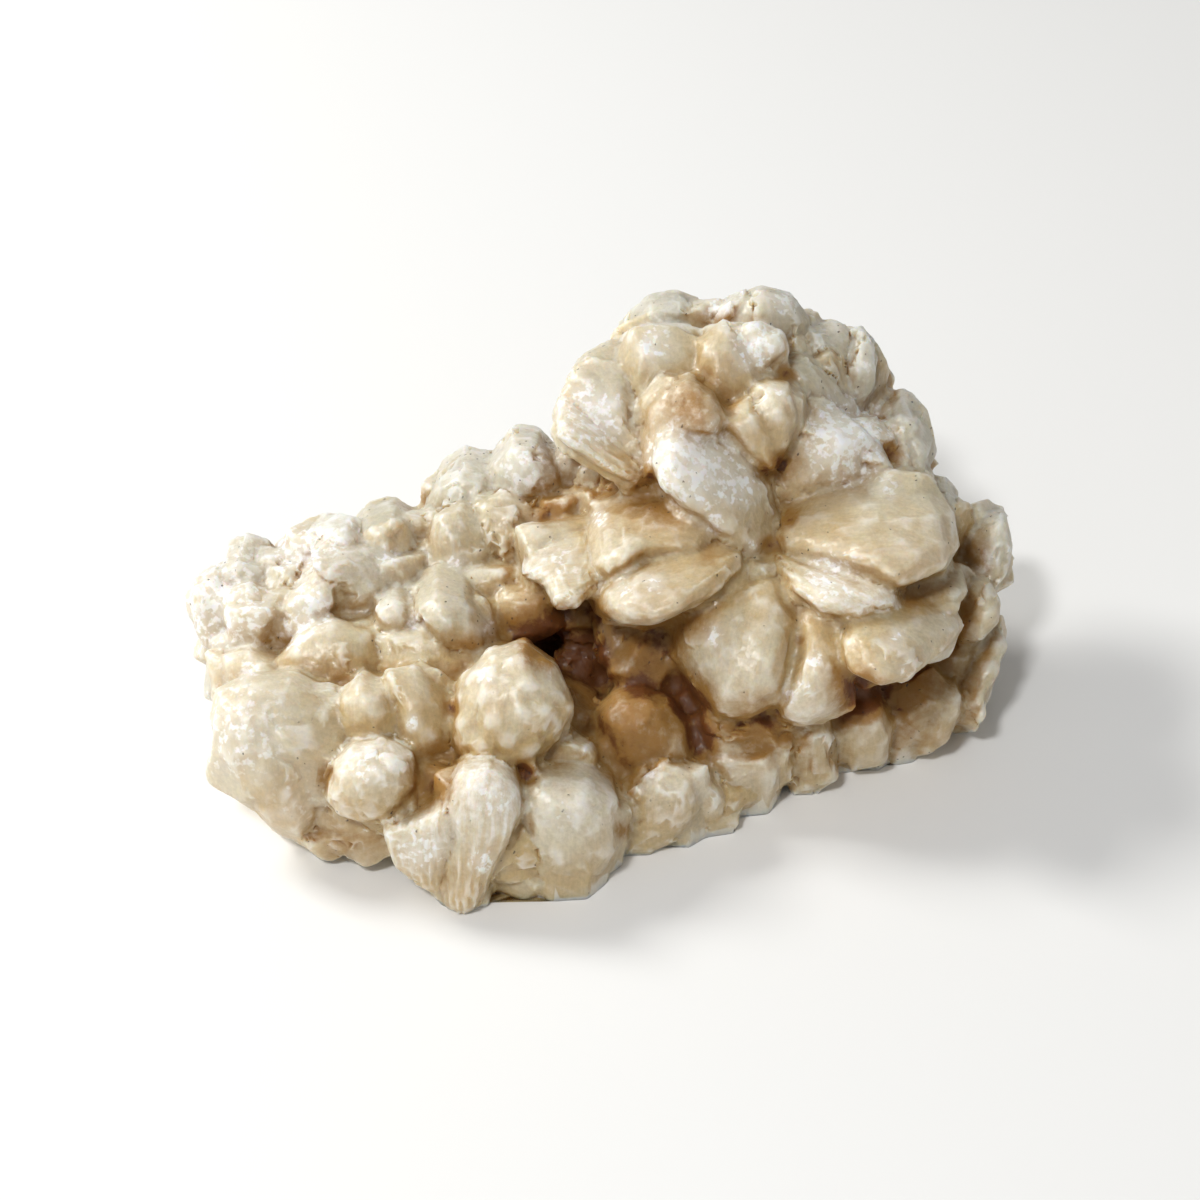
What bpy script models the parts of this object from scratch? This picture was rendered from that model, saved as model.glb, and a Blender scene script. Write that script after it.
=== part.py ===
"""Stilbite cluster: one hand-sized piece of intergrown, honey to cream sheaf crystals.

The specimen is a low slab about 100 mm long that carries two flower-like sprays of petal
crystals at its right half, a lower field of blocky crystals at its left half and a pocket
between them. Every crystal has grown into its neighbours, so the result is one solid.
Units are metres, +Z is up, and the slab rests on a flat spot at Z = 0.
"""

import math
import random
from typing import NamedTuple

import bmesh
import bpy
from mathutils import Matrix, Vector

MM = 0.001
NODE_NAME = "stilbite_cluster"

# The layout is drawn on a picture plane that leans back from the viewer, who looks along +Y.
# A place on it is (across, up) in millimetres from its middle, and the third number is the
# height above the table at which the sight line through that place is followed.
VIEW_ELEVATION = math.radians(40)
VIEW_DISTANCE = 350.0
VIEW_HEIGHT = 17.0

COLOUR = (0.80, 0.68, 0.48, 1.0)
ROUGHNESS = 0.35
FACET_SEED = 11
BACK_SEED = 5


class Form(NamedTuple):
    """How a crystal swells and ends: shares of its length and width, and rings of tip facets."""

    root: float
    belly: float
    facets: tuple
    sides: int


PETAL = Form(root=0.48, belly=0.60, facets=((20, 2), (48, 3), (74, 4)), sides=6)
BLOCK = Form(root=0.80, belly=0.70, facets=((8, 1), (48, 3), (76, 3)), sides=6)
DOME = Form(root=0.82, belly=0.48, facets=((6, 1), (38, 4), (66, 4)), sides=6)
BARREL = Form(root=0.86, belly=0.84, facets=((10, 1), (60, 4)), sides=8)
PEBBLE = Form(root=0.84, belly=0.50, facets=((12, 1), (52, 3)), sides=6)
SHARD = Form(root=0.75, belly=0.40, facets=((30, 2), (62, 3)), sides=5)


class Crystal(NamedTuple):
    """A crystal seen from tip to root, each end (across, up, height), with its two widths."""

    tip: tuple
    root: tuple
    width: float
    thickness: float
    form: Form
    turn: float = 0.0


FRONT_ROSETTE = (
    Crystal((9.6, 22.3, 40), (19.4, 5.2, 25), 14.0, 7.0, PETAL),
    Crystal((-0.6, 8.4, 28), (16.0, 10.6, 28), 12.0, 9.0, PETAL),
    Crystal((-0.5, 0.0, 25), (18.6, 4.6, 27), 10.0, 9.0, PETAL),
    Crystal((16.0, -13.5, 16), (21.5, 4.4, 25), 13.0, 9.0, PETAL),
    Crystal((11.3, -8.8, 18), (16.3, 0.0, 22), 7.0, 5.0, PETAL),
    Crystal((19.6, 3.0, 26), (20.0, 5.0, 20), 5.0, 4.0, PEBBLE),
    Crystal((28.5, -15.0, 15), (23.8, 1.3, 24), 10.0, 8.0, PETAL),
    Crystal((44.6, -5.6, 20), (33.0, 0.6, 23), 11.0, 9.0, DOME),
    Crystal((44.4, 1.3, 23), (35.0, 1.3, 22), 9.0, 8.0, BLOCK),
    Crystal((35.6, -10.6, 15), (33.8, -3.8, 20), 8.0, 7.0, DOME),
    Crystal((36.4, -0.9, 27), (21.5, 4.8, 26), 6.5, 5.0, PETAL),
    Crystal((43.6, 9.6, 30), (22.0, 8.2, 26), 14.0, 12.0, PETAL),
    Crystal((32.4, 22.3, 38), (21.6, 12.0, 30), 12.5, 9.0, PETAL),
    Crystal((40.0, 18.1, 32), (32.5, 15.0, 27), 9.0, 8.0, BLOCK),
    Crystal((4.0, -11.0, 14), (8.1, -1.9, 20), 9.5, 7.0, BLOCK),
    Crystal((10.0, -8.1, 15), (12.5, -3.8, 19), 5.0, 5.0, PEBBLE),
    Crystal((19.4, -18.8, 8), (21.3, -11.3, 13), 14.0, 8.0, DOME),
    Crystal((15.3, -17.8, 9), (16.9, -11.3, 13), 8.0, 7.0, BLOCK),
)

UPPER_ROSETTE = (
    Crystal((-3.1, 28.5, 42), (5.6, 15.3, 34), 12.5, 8.0, PETAL),
    Crystal((-4.8, 23.1, 39), (5.0, 15.0, 34), 7.0, 6.0, PETAL),
    Crystal((6.9, 34.0, 46), (8.8, 18.8, 36), 13.0, 8.0, PETAL),
    Crystal((9.8, 37.1, 45), (11.3, 27.5, 36), 11.5, 7.0, BLOCK),
    Crystal((4.0, 35.0, 44), (7.5, 25.0, 37), 7.0, 6.0, BLOCK),
    Crystal((16.6, 37.3, 45), (16.9, 27.5, 37), 7.0, 5.0, PETAL),
    Crystal((21.3, 38.8, 46), (21.9, 26.3, 35), 9.5, 8.0, DOME),
    Crystal((25.4, 36.5, 43), (24.4, 26.3, 34), 6.0, 6.0, PEBBLE),
    Crystal((19.6, 33.8, 47), (20.6, 25.0, 39), 8.0, 6.0, BLOCK),
    Crystal((16.0, 34.8, 47), (16.9, 20.0, 36), 8.5, 8.0, PETAL),
    Crystal((11.0, 27.8, 44), (8.1, 15.6, 34), 10.5, 8.0, PETAL),
    Crystal((5.0, 25.0, 41), (6.9, 16.3, 34), 5.0, 5.0, PETAL),
    Crystal((23.1, 26.9, 43), (18.1, 16.9, 34), 9.0, 8.0, BLOCK),
    Crystal((17.3, 25.3, 42), (16.9, 17.5, 34), 6.5, 6.0, PEBBLE),
    Crystal((26.5, 31.0, 41), (30.0, 21.9, 32), 7.5, 6.0, BLOCK),
    Crystal((23.1, 31.9, 42), (23.8, 23.8, 35), 6.0, 6.0, PEBBLE),
    Crystal((27.3, 25.9, 38), (27.5, 20.0, 32), 5.0, 5.0, PEBBLE),
    Crystal((32.3, 34.1, 40), (31.3, 21.9, 29), 9.0, 8.0, DOME),
    Crystal((35.0, 30.3, 36), (31.3, 21.9, 28), 6.5, 6.0, PEBBLE),
    Crystal((27.8, 33.5, 40), (28.1, 23.8, 31), 5.5, 5.0, PETAL),
    Crystal((36.6, 23.5, 33), (35.0, 13.8, 24), 7.5, 6.0, BLOCK),
    Crystal((40.4, 19.4, 29), (36.3, 13.8, 23), 6.5, 6.0, PEBBLE),
)

RIGHT_END = (
    Crystal((44.8, 12.9, 27), (41.3, 5.0, 20), 6.0, 6.0, PEBBLE),
    Crystal((50.0, 10.3, 23), (43.1, 5.0, 16), 8.5, 8.0, BLOCK),
    Crystal((51.0, 4.4, 19), (43.8, 3.1, 15), 7.5, 7.0, BLOCK),
    Crystal((48.1, -1.0, 17), (42.5, 0.0, 14), 8.5, 8.0, DOME),
    Crystal((46.0, 2.5, 21), (41.3, 1.3, 17), 6.0, 6.0, PEBBLE),
    Crystal((50.8, -5.0, 11), (43.8, -5.0, 9), 7.0, 6.0, BLOCK),
    Crystal((49.6, -10.4, 7), (42.5, -8.8, 8), 7.0, 6.0, BLOCK),
    Crystal((47.3, -15.3, 3), (41.9, -12.5, 5), 6.0, 5.0, SHARD),
    Crystal((46.9, -8.1, 11), (41.3, -7.5, 9), 7.0, 7.0, DOME),
    Crystal((41.9, -15.6, 7), (38.8, -10.0, 11), 9.5, 8.0, DOME),
    Crystal((40.6, -19.0, 2), (38.8, -13.8, 6), 8.0, 7.0, SHARD),
    Crystal((34.0, -13.5, 10), (33.5, -20.6, 0), 8.0, 7.0, BLOCK),
    Crystal((31.0, -14.4, 9), (30.0, -21.3, 0), 6.5, 6.0, PEBBLE),
    Crystal((38.0, -14.0, 9), (37.5, -20.0, 0), 6.0, 6.0, PEBBLE),
    Crystal((26.9, -16.0, 8), (26.5, -23.1, 0), 7.0, 6.0, BLOCK),
)

FRONT_ROW = (
    Crystal((18.1, -17.8, 11), (18.1, -26.3, 0), 11.0, 8.0, BLOCK),
    Crystal((13.5, -17.1, 11), (14.4, -23.8, 3), 4.5, 4.0, PEBBLE),
    Crystal((8.1, -21.5, 11), (10.0, -30.0, 0), 11.0, 8.0, BLOCK),
    Crystal((14.0, -24.4, 6), (13.8, -30.0, -1), 8.0, 6.0, SHARD),
    Crystal((4.0, -25.6, 7), (5.0, -32.5, -1), 7.0, 6.0, BLOCK),
    Crystal((4.4, -11.9, 15), (6.9, -22.5, 5), 10.0, 9.0, DOME),
    Crystal((8.5, -13.1, 13), (8.8, -22.5, 4), 6.5, 6.0, PEBBLE),
    Crystal((1.5, -14.4, 13), (5.0, -21.3, 6), 6.0, 6.0, PEBBLE),
    Crystal((-4.4, -23.8, 13), (-4.4, -36.3, 0), 12.5, 10.0, DOME),
    Crystal((1.3, -25.0, 11), (0.0, -33.8, 0), 6.0, 7.0, PEBBLE),
    Crystal((-8.8, -33.0, 5), (-6.9, -36.9, -1), 10.0, 6.0, SHARD),
    Crystal((-16.0, -21.9, 17), (-15.6, -35.0, 2), 10.0, 8.0, BLOCK),
    Crystal((-10.6, -26.0, 12), (-15.0, -35.0, 2), 4.5, 4.0, SHARD),
    Crystal((-17.1, -38.5, 0), (-16.9, -28.8, 9), 8.0, 7.0, PETAL),
    Crystal((-25.0, -33.0, 4), (-20.0, -28.8, 9), 9.0, 6.0, SHARD),
    Crystal((-21.3, -36.3, 2), (-18.0, -30.0, 8), 7.0, 6.0, SHARD),
    Crystal((-31.5, -19.5, 17), (-25.5, -26.0, 10), 10.5, 9.0, DOME),
    Crystal((-48.0, -16.0, 16), (-33.0, -20.0, 13), 17.5, 14.0, DOME),
    Crystal((-35.0, -11.3, 21), (-35.0, -20.0, 12), 8.0, 8.0, DOME),
    Crystal((-43.0, -23.8, 9), (-36.3, -21.3, 11), 9.0, 7.0, BLOCK),
    Crystal((-42.3, -26.9, 6), (-35.0, -26.3, 8), 7.0, 6.0, SHARD),
    Crystal((-37.5, -30.0, 4), (-31.0, -28.8, 6), 7.0, 6.0, SHARD),
    Crystal((-31.9, -31.0, 4), (-26.3, -30.0, 6), 6.0, 6.0, SHARD),
)

LEFT_FIELD = (
    Crystal((-11.0, -6.3, 24), (-10.6, -20.0, 12), 12.5, 10.0, DOME),
    Crystal((-4.4, -12.5, 18), (-10.0, -16.3, 15), 8.0, 8.0, DOME),
    Crystal((-15.3, -9.4, 22), (-11.9, -16.3, 15), 6.0, 6.0, PEBBLE),
    Crystal((-17.5, -16.0, 17), (-13.8, -20.0, 13), 6.0, 6.0, PEBBLE),
    Crystal((-30.3, -10.3, 20), (-27.5, -18.8, 13), 8.0, 7.0, DOME),
    Crystal((-23.1, -8.5, 21), (-21.3, -20.0, 11), 8.5, 8.0, PETAL),
    Crystal((-26.0, -10.3, 20), (-25.0, -18.0, 13), 5.0, 5.0, PEBBLE),
    Crystal((-3.8, -16.9, 15), (-4.4, -24.4, 6), 8.0, 7.0, DOME),
    Crystal((-37.5, -5.6, 19), (-28.8, -11.3, 14), 9.0, 6.0, DOME),
    Crystal((-28.5, -5.0, 19), (-26.9, -11.3, 13), 7.0, 6.0, DOME),
    Crystal((-23.8, -5.6, 19), (-22.5, -12.5, 12), 6.0, 6.0, PEBBLE),
    Crystal((-18.8, -5.6, 18), (-18.0, -12.5, 12), 7.0, 6.0, DOME),
    Crystal((-31.9, -2.5, 20), (-30.0, -8.8, 14), 8.0, 6.0, BLOCK),
    Crystal((-24.4, -0.3, 22), (-23.8, -7.5, 15), 7.0, 6.0, DOME),
    Crystal((-18.0, 0.3, 22), (-16.3, -8.8, 13), 9.5, 8.0, DOME),
    Crystal((-13.8, -3.1, 19), (-13.8, -10.0, 12), 5.0, 5.0, PETAL),
    Crystal((-30.6, 3.1, 23), (-28.8, -5.0, 15), 9.0, 7.0, BLOCK),
    Crystal((-38.0, 1.3, 23), (-33.8, -6.3, 15), 8.0, 7.0, BLOCK),
    Crystal((-33.8, 5.0, 24), (-31.3, -3.8, 15), 9.0, 7.0, BLOCK),
    Crystal((-26.9, 5.6, 24), (-25.0, -2.5, 16), 9.0, 7.0, BLOCK),
    Crystal((-22.5, 2.5, 22), (-23.0, -5.0, 15), 6.0, 6.0, PEBBLE),
    Crystal((-49.4, 1.9, 21), (-46.0, -6.9, 11), 7.5, 7.0, BLOCK),
    Crystal((-49.6, -4.4, 13), (-45.0, -7.5, 9), 7.0, 7.0, BLOCK),
    Crystal((-45.3, 5.0, 22), (-43.8, -3.8, 13), 6.5, 6.0, PEBBLE),
    Crystal((-43.8, 0.0, 22), (-42.5, -7.5, 14), 8.5, 7.0, BLOCK),
    Crystal((-46.5, -3.1, 18), (-43.8, -8.8, 11), 7.0, 7.0, BLOCK),
    Crystal((-41.3, 1.3, 22), (-39.4, -6.3, 14), 6.0, 6.0, PEBBLE),
    Crystal((-35.6, 9.4, 25), (-36.3, 0.0, 15), 8.5, 8.0, BLOCK),
    Crystal((-41.3, 6.3, 23), (-39.4, -1.3, 14), 6.5, 6.0, PEBBLE),
    Crystal((-32.5, 8.8, 24), (-33.0, 0.0, 15), 6.0, 6.0, PEBBLE),
    Crystal((-47.3, -8.5, 14), (-42.5, -11.3, 11), 7.0, 7.0, BLOCK),
    Crystal((-44.4, -9.0, 17), (-40.6, -12.5, 13), 7.0, 7.0, DOME),
)

BACK_RIDGE = (
    Crystal((-28.5, 10.6, 25), (-26.3, 1.3, 15), 8.5, 8.0, DOME),
    Crystal((-24.4, 11.0, 25), (-23.8, 1.3, 16), 7.0, 7.0, DOME),
    Crystal((-18.0, 10.6, 25), (-18.0, 0.0, 16), 8.5, 8.0, DOME),
    Crystal((-20.6, 7.5, 24), (-18.8, 0.0, 16), 6.0, 6.0, PEBBLE),
    Crystal((-15.6, 7.5, 24), (-15.0, 0.0, 16), 6.5, 6.0, PEBBLE),
    Crystal((-17.3, 16.8, 28), (-16.9, 7.5, 17), 9.0, 8.0, DOME),
    Crystal((-20.0, 15.3, 26), (-18.8, 7.5, 17), 6.0, 6.0, PEBBLE),
    Crystal((-9.4, 20.3, 31), (-9.4, 8.8, 18), 9.0, 8.5, DOME),
    Crystal((-3.8, 19.3, 30), (-3.8, 8.8, 19), 6.0, 6.0, PEBBLE),
    Crystal((-0.4, 17.8, 30), (-0.6, 8.8, 20), 6.5, 6.0, PEBBLE),
    Crystal((-12.1, 13.0, 27), (-11.3, 2.5, 17), 8.0, 7.0, DOME),
    Crystal((-8.1, 11.9, 27), (-8.1, 2.5, 18), 6.0, 6.0, PEBBLE),
    Crystal((-4.8, 13.5, 28), (-4.4, 5.0, 20), 7.0, 6.0, BLOCK),
    Crystal((-1.3, 14.1, 29), (-1.3, 6.3, 22), 5.0, 5.0, PEBBLE),
    Crystal((-9.8, 4.8, 25), (0.0, 6.9, 25), 9.5, 8.0, BARREL),
    Crystal((-11.6, 4.0, 22), (-12.5, -3.8, 14), 6.0, 6.0, PEBBLE),
    Crystal((-15.0, 3.5, 22), (-15.0, -5.0, 13), 7.0, 6.0, DOME),
    Crystal((-8.1, -3.8, 16), (-9.4, 2.5, 20), 9.0, 7.0, DOME),
    Crystal((-1.9, -4.0, 16), (-2.5, 2.5, 20), 7.0, 6.0, BLOCK),
    Crystal((-2.5, -7.5, 12), (-1.3, -12.5, 6), 5.0, 5.0, PEBBLE),
    Crystal((0.0, -16.9, 9), (0.0, -23.8, 1), 6.0, 6.0, PEBBLE),
)

# Lumps of the massive stilbite that the crystals stand on: middle (x, y, z) and half sizes.
CORE_LUMPS = (
    ((-22.0, -15.0, 7.0), (25.0, 17.0, 9.0)),
    ((-30.0, -2.0, 9.0), (17.0, 11.0, 10.0)),
    ((-10.0, 8.0, 11.0), (18.0, 10.0, 13.0)),
    ((22.0, 0.0, 9.0), (24.0, 16.0, 11.0)),
    ((13.0, 14.0, 18.0), (18.0, 12.0, 22.0)),
    ((30.0, 9.0, 14.0), (15.0, 11.0, 17.0)),
    ((22.0, -2.0, 17.0), (13.0, 10.0, 11.0)),
    ((18.0, 16.0, 30.0), (13.0, 8.0, 10.0)),
    ((-12.0, -26.0, 5.0), (12.0, 10.0, 7.0)),
    ((4.0, -14.0, 3.5), (20.0, 15.0, 6.0)),
)

# Grains that fill the last small gaps deep between crystals: middle (x, y, z).
GRAINS = (
    (-21.0, -6.4, 17.0),
    (25.9, 20.0, 36.4),
    (-44.8, -4.0, 11.2),
)
GRAIN_SIZE = 1.6

# How finely and how unevenly the lumps and grains are cut flat all round.
CORE_FACETS = 22
CORE_UNEVENNESS = (0.88, 1.0)

# The hidden far side: places along its foot (x, y) with the height that the crystals reach.
BACK_EDGE = (
    (-46.0, -9.0, 10.0),
    (-43.0, 0.0, 16.0),
    (-33.0, 5.0, 18.0),
    (-21.0, 11.0, 19.0),
    (-8.0, 17.0, 23.0),
    (5.0, 22.0, 32.0),
    (18.0, 24.0, 36.0),
    (31.0, 19.0, 30.0),
    (41.0, 11.0, 20.0),
    (45.0, 1.0, 12.0),
)
# Each row of the far side: its share of the height and how far it points up, in degrees.
BACK_ROWS = ((0.18, 4), (0.48, 18), (0.80, 42))
BACK_SPACING = 9.5
BACK_ROOT_DEPTH = 5.0
BACK_LENGTHS = (9.0, 13.0)
BACK_WIDTHS = (7.0, 10.5)
BACK_FLATNESS = (0.75, 0.95)
BACK_SHORTENING = 2.0
BACK_STRAY = 2.5
BACK_LEAN_STRAY = 10.0
BACK_SWAY = 0.35
BACK_TURN = 60.0

# The block below the table that cuts the rest flat, in millimetres.
TABLE_SIZE = (300.0, 300.0, 40.0)


def seen_at(across, up, height):
    """The point at this height that the viewer sees at (across, up) on the picture plane."""
    sine, cosine = math.sin(VIEW_ELEVATION), math.cos(VIEW_ELEVATION)
    eye = Vector((0, -VIEW_DISTANCE * cosine, VIEW_HEIGHT + VIEW_DISTANCE * sine))
    on_plane = Vector((across, up * sine, VIEW_HEIGHT + up * cosine))
    reach = (height - eye.z) / (on_plane.z - eye.z)
    return eye + (on_plane - eye) * reach


def towards_viewer():
    """The unit vector from the picture plane to the viewer."""
    return Vector((0, -math.cos(VIEW_ELEVATION), math.sin(VIEW_ELEVATION)))


def cut_flat(mesh, point, normal):
    """Cuts away what lies beyond a plane and closes the cut with one flat face."""
    everything = mesh.verts[:] + mesh.edges[:] + mesh.faces[:]
    cut = bmesh.ops.bisect_plane(
        mesh, geom=everything, plane_co=point, plane_no=normal, dist=1e-6, clear_outer=True
    )
    rim = [piece for piece in cut["geom_cut"] if isinstance(piece, bmesh.types.BMEdge)]
    if rim:
        bmesh.ops.edgeloop_fill(mesh, edges=rim)


def cut_facets(mesh, middle, half, rings, random_source):
    """Cuts rings of facets that lie against an ellipsoid, so that the ends are cut like a gem."""
    for polar, count in rings:
        start = random_source.uniform(0, 360)
        for step in range(count):
            lean = math.radians(polar + random_source.uniform(-6, 6))
            turn = math.radians(start + 360 * (step + random_source.uniform(-0.2, 0.2)) / count)
            across = Vector((math.cos(turn), math.sin(turn), 0)) * math.sin(lean)
            normal = across + Vector((0, 0, math.cos(lean)))
            reach = Vector(n * h for n, h in zip(normal, half)).length
            cut_flat(mesh, middle + normal * reach * random_source.uniform(0.90, 1.0), normal)


def crystal_mesh(length, width, thickness, form, random_source):
    """A tapered prism from its root at the origin up +Z, with its tip cut by facets."""
    mesh = bmesh.new()
    widest = form.root + (1 - form.root) / form.belly
    bmesh.ops.create_cone(
        mesh, cap_ends=True, segments=form.sides, radius1=form.root, radius2=widest, depth=1
    )
    spin = Matrix.Rotation(random_source.uniform(0, math.tau), 4, "Z")
    size = Matrix.Diagonal((width / 2, thickness / 2, length, 1))
    bmesh.ops.transform(mesh, matrix=size @ Matrix.Translation((0, 0, 0.5)) @ spin, verts=mesh.verts)
    middle = Vector((0, 0, form.belly * length))
    half = (width / 2, thickness / 2, (1 - form.belly) * length)
    cut_facets(mesh, middle, half, form.facets, random_source)
    return mesh


def pointing(root, tip, facing, turn):
    """The placement that puts +Z along the crystal and +Y, its broad face, towards `facing`."""
    along = (tip - root).normalized()
    face = (facing - along * facing.dot(along)).normalized()
    side = face.cross(along)
    frame = Matrix((side, face, along)).transposed().to_4x4()
    return Matrix.Translation(root) @ frame @ Matrix.Rotation(math.radians(turn), 4, "Z")


def add_object(name, mesh, collection, material):
    """Links a bmesh, made in millimetres, as an object in metres."""
    bmesh.ops.scale(mesh, vec=(MM, MM, MM), verts=mesh.verts)
    bmesh.ops.recalc_face_normals(mesh, faces=mesh.faces)
    data = bpy.data.meshes.new(name)
    mesh.to_mesh(data)
    mesh.free()
    data.materials.append(material)
    made = bpy.data.objects.new(name, data)
    collection.objects.link(made)
    return made


def stilbite_material():
    """Waxy, honey-cream stilbite."""
    material = bpy.data.materials.new("stilbite")
    material.use_nodes = True
    shader = material.node_tree.nodes["Principled BSDF"]
    shader.inputs["Base Color"].default_value = COLOUR
    shader.inputs["Roughness"].default_value = ROUGHNESS
    shader.inputs["Metallic"].default_value = 0.0
    return material


def new_collection(name, hidden=False):
    """A collection in the scene, left out of renders when it only holds tools."""
    made = bpy.data.collections.new(name)
    bpy.context.scene.collection.children.link(made)
    made.hide_render = hidden
    return made


def grow_seen_crystals(collection, material):
    """The crystals of the side that the layout shows."""
    zones = {
        "front_rosette": FRONT_ROSETTE,
        "upper_rosette": UPPER_ROSETTE,
        "right_end": RIGHT_END,
        "front_row": FRONT_ROW,
        "left_field": LEFT_FIELD,
        "back_ridge": BACK_RIDGE,
    }
    for zone, crystals in zones.items():
        for number, crystal in enumerate(crystals, start=1):
            random_source = random.Random(f"{FACET_SEED} {zone} {number}")
            tip, root = seen_at(*crystal.tip), seen_at(*crystal.root)
            mesh = crystal_mesh(
                (tip - root).length, crystal.width, crystal.thickness, crystal.form, random_source
            )
            placement = pointing(root, tip, towards_viewer(), crystal.turn)
            bmesh.ops.transform(mesh, matrix=placement, verts=mesh.verts)
            add_object(f"{zone}_{number:02d}", mesh, collection, material)


def back_places():
    """Evenly spaced places along the far foot, each (point, outward direction, height)."""
    places = []
    for start, end in zip(BACK_EDGE, BACK_EDGE[1:]):
        a, b = Vector(start), Vector(end)
        run = (b - a).to_2d()
        count = max(1, round(run.length / BACK_SPACING))
        outward = Vector((-run.y, run.x, 0)).normalized()
        for step in range(count):
            point = a.lerp(b, (step + 0.5) / count)
            places.append((Vector((point.x, point.y, 0)), outward, point.z))
    return places


def grow_back_crystals(collection, material):
    """Rows of crystals that stand out from the far side, in the same sizes as those in view."""
    random_source = random.Random(BACK_SEED)
    for number, (foot, outward, height) in enumerate(back_places(), start=1):
        for row, (share, lift) in enumerate(BACK_ROWS, start=1):
            along_edge = outward.cross(Vector((0, 0, 1)))
            lean = math.radians(lift + random_source.uniform(-BACK_LEAN_STRAY, BACK_LEAN_STRAY))
            sway = random_source.uniform(-BACK_SWAY, BACK_SWAY)
            direction = (outward * math.cos(lean) + along_edge * sway).normalized()
            direction = (direction + Vector((0, 0, math.sin(lean)))).normalized()
            root = foot - outward * BACK_ROOT_DEPTH + Vector((0, 0, height * share))
            root += along_edge * random_source.uniform(-BACK_STRAY, BACK_STRAY)
            length = random_source.uniform(*BACK_LENGTHS) - BACK_SHORTENING * share
            width = random_source.uniform(*BACK_WIDTHS)
            form = random_source.choice((DOME, DOME, BLOCK, PETAL))
            thickness = width * random_source.uniform(*BACK_FLATNESS)
            mesh = crystal_mesh(length, width, thickness, form, random_source)
            facing = outward + Vector((0, 0, 0.5))
            turn = random_source.uniform(-BACK_TURN, BACK_TURN)
            placement = pointing(root, root + direction * length, facing, turn)
            bmesh.ops.transform(mesh, matrix=placement, verts=mesh.verts)
            add_object(f"far_side_{number:02d}_{row}", mesh, collection, material)


def core_directions(count):
    """Directions spread evenly over a ball by the golden angle."""
    golden = math.pi * (3 - math.sqrt(5))
    for step in range(count):
        z = 1 - 2 * (step + 0.5) / count
        ring = math.sqrt(1 - z * z)
        yield Vector((ring * math.cos(golden * step), ring * math.sin(golden * step), z))


def core_lump(middle, half, random_source):
    """A boulder cut flat on all sides, like the broken massive mineral."""
    mesh = bmesh.new()
    bmesh.ops.create_cube(mesh, size=2.2)
    bmesh.ops.scale(mesh, vec=half, verts=mesh.verts)
    for direction in core_directions(CORE_FACETS):
        reach = Vector(n * h for n, h in zip(direction, half)).length
        cut_flat(mesh, direction * reach * random_source.uniform(*CORE_UNEVENNESS), direction)
    bmesh.ops.translate(mesh, vec=middle, verts=mesh.verts)
    return mesh


def build():
    """Builds every crystal and the core, then joins them in one solid with a flat rest."""
    material = stilbite_material()
    cluster = new_collection("stilbite cluster")
    crystals = new_collection("crystals to join", hidden=True)
    grow_seen_crystals(crystals, material)
    grow_back_crystals(crystals, material)
    random_source = random.Random(FACET_SEED)
    lumps = [core_lump(middle, half, random_source) for middle, half in CORE_LUMPS]
    for number, mesh in enumerate(lumps[1:], start=2):
        add_object(f"core_lump_{number}", mesh, crystals, material)
    for number, middle in enumerate(GRAINS, start=1):
        grain = core_lump(middle, (GRAIN_SIZE, GRAIN_SIZE, GRAIN_SIZE), random_source)
        add_object(f"grain_{number}", grain, crystals, material)
    solid = add_object(NODE_NAME, lumps[0], cluster, material)
    join = solid.modifiers.new("grown together", "BOOLEAN")
    join.operation = "UNION"
    join.operand_type = "COLLECTION"
    join.collection = crystals
    join.solver = "EXACT"

    table = bmesh.new()
    bmesh.ops.create_cube(table, size=1)
    bmesh.ops.scale(table, vec=TABLE_SIZE, verts=table.verts)
    bmesh.ops.translate(table, vec=(0, 0, -TABLE_SIZE[2] / 2), verts=table.verts)
    cutters = new_collection("cutters", hidden=True)
    below = add_object("below_table", table, cutters, material)
    rest = solid.modifiers.new("flat rest", "BOOLEAN")
    rest.operation = "DIFFERENCE"
    rest.object = below
    rest.solver = "EXACT"
    for helper in [*crystals.objects, below]:
        helper.hide_render = True
        helper.display_type = "WIRE"


def main():
    for leftover in list(bpy.data.objects):
        bpy.data.objects.remove(leftover)
    build()


main()
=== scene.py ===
"""Looks of the stilbite cluster: one hand specimen of intergrown, honey-cream crystals.

Crystals are laid out as the photo shows them, on a picture plane of 1200 by 1200 units with
eight units to the millimetre, each with the height above the table at which it stands. They
are grown one by one, fused in a single stone, weathered, and dressed by how deep, how frosted
and how clear every place on the stone is. Depth and the side turned from the light are painted
into the colour as shade; placed spots add real stain and frost along with painted shade and
painted highlights, and outer edges get painted rim light.
"""

import logging
import math
import random
from dataclasses import dataclass, field
from enum import Enum
from functools import reduce

import bpy
import numpy as np
from mathutils import Matrix, Vector, noise
from mathutils.bvhtree import BVHTree

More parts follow.
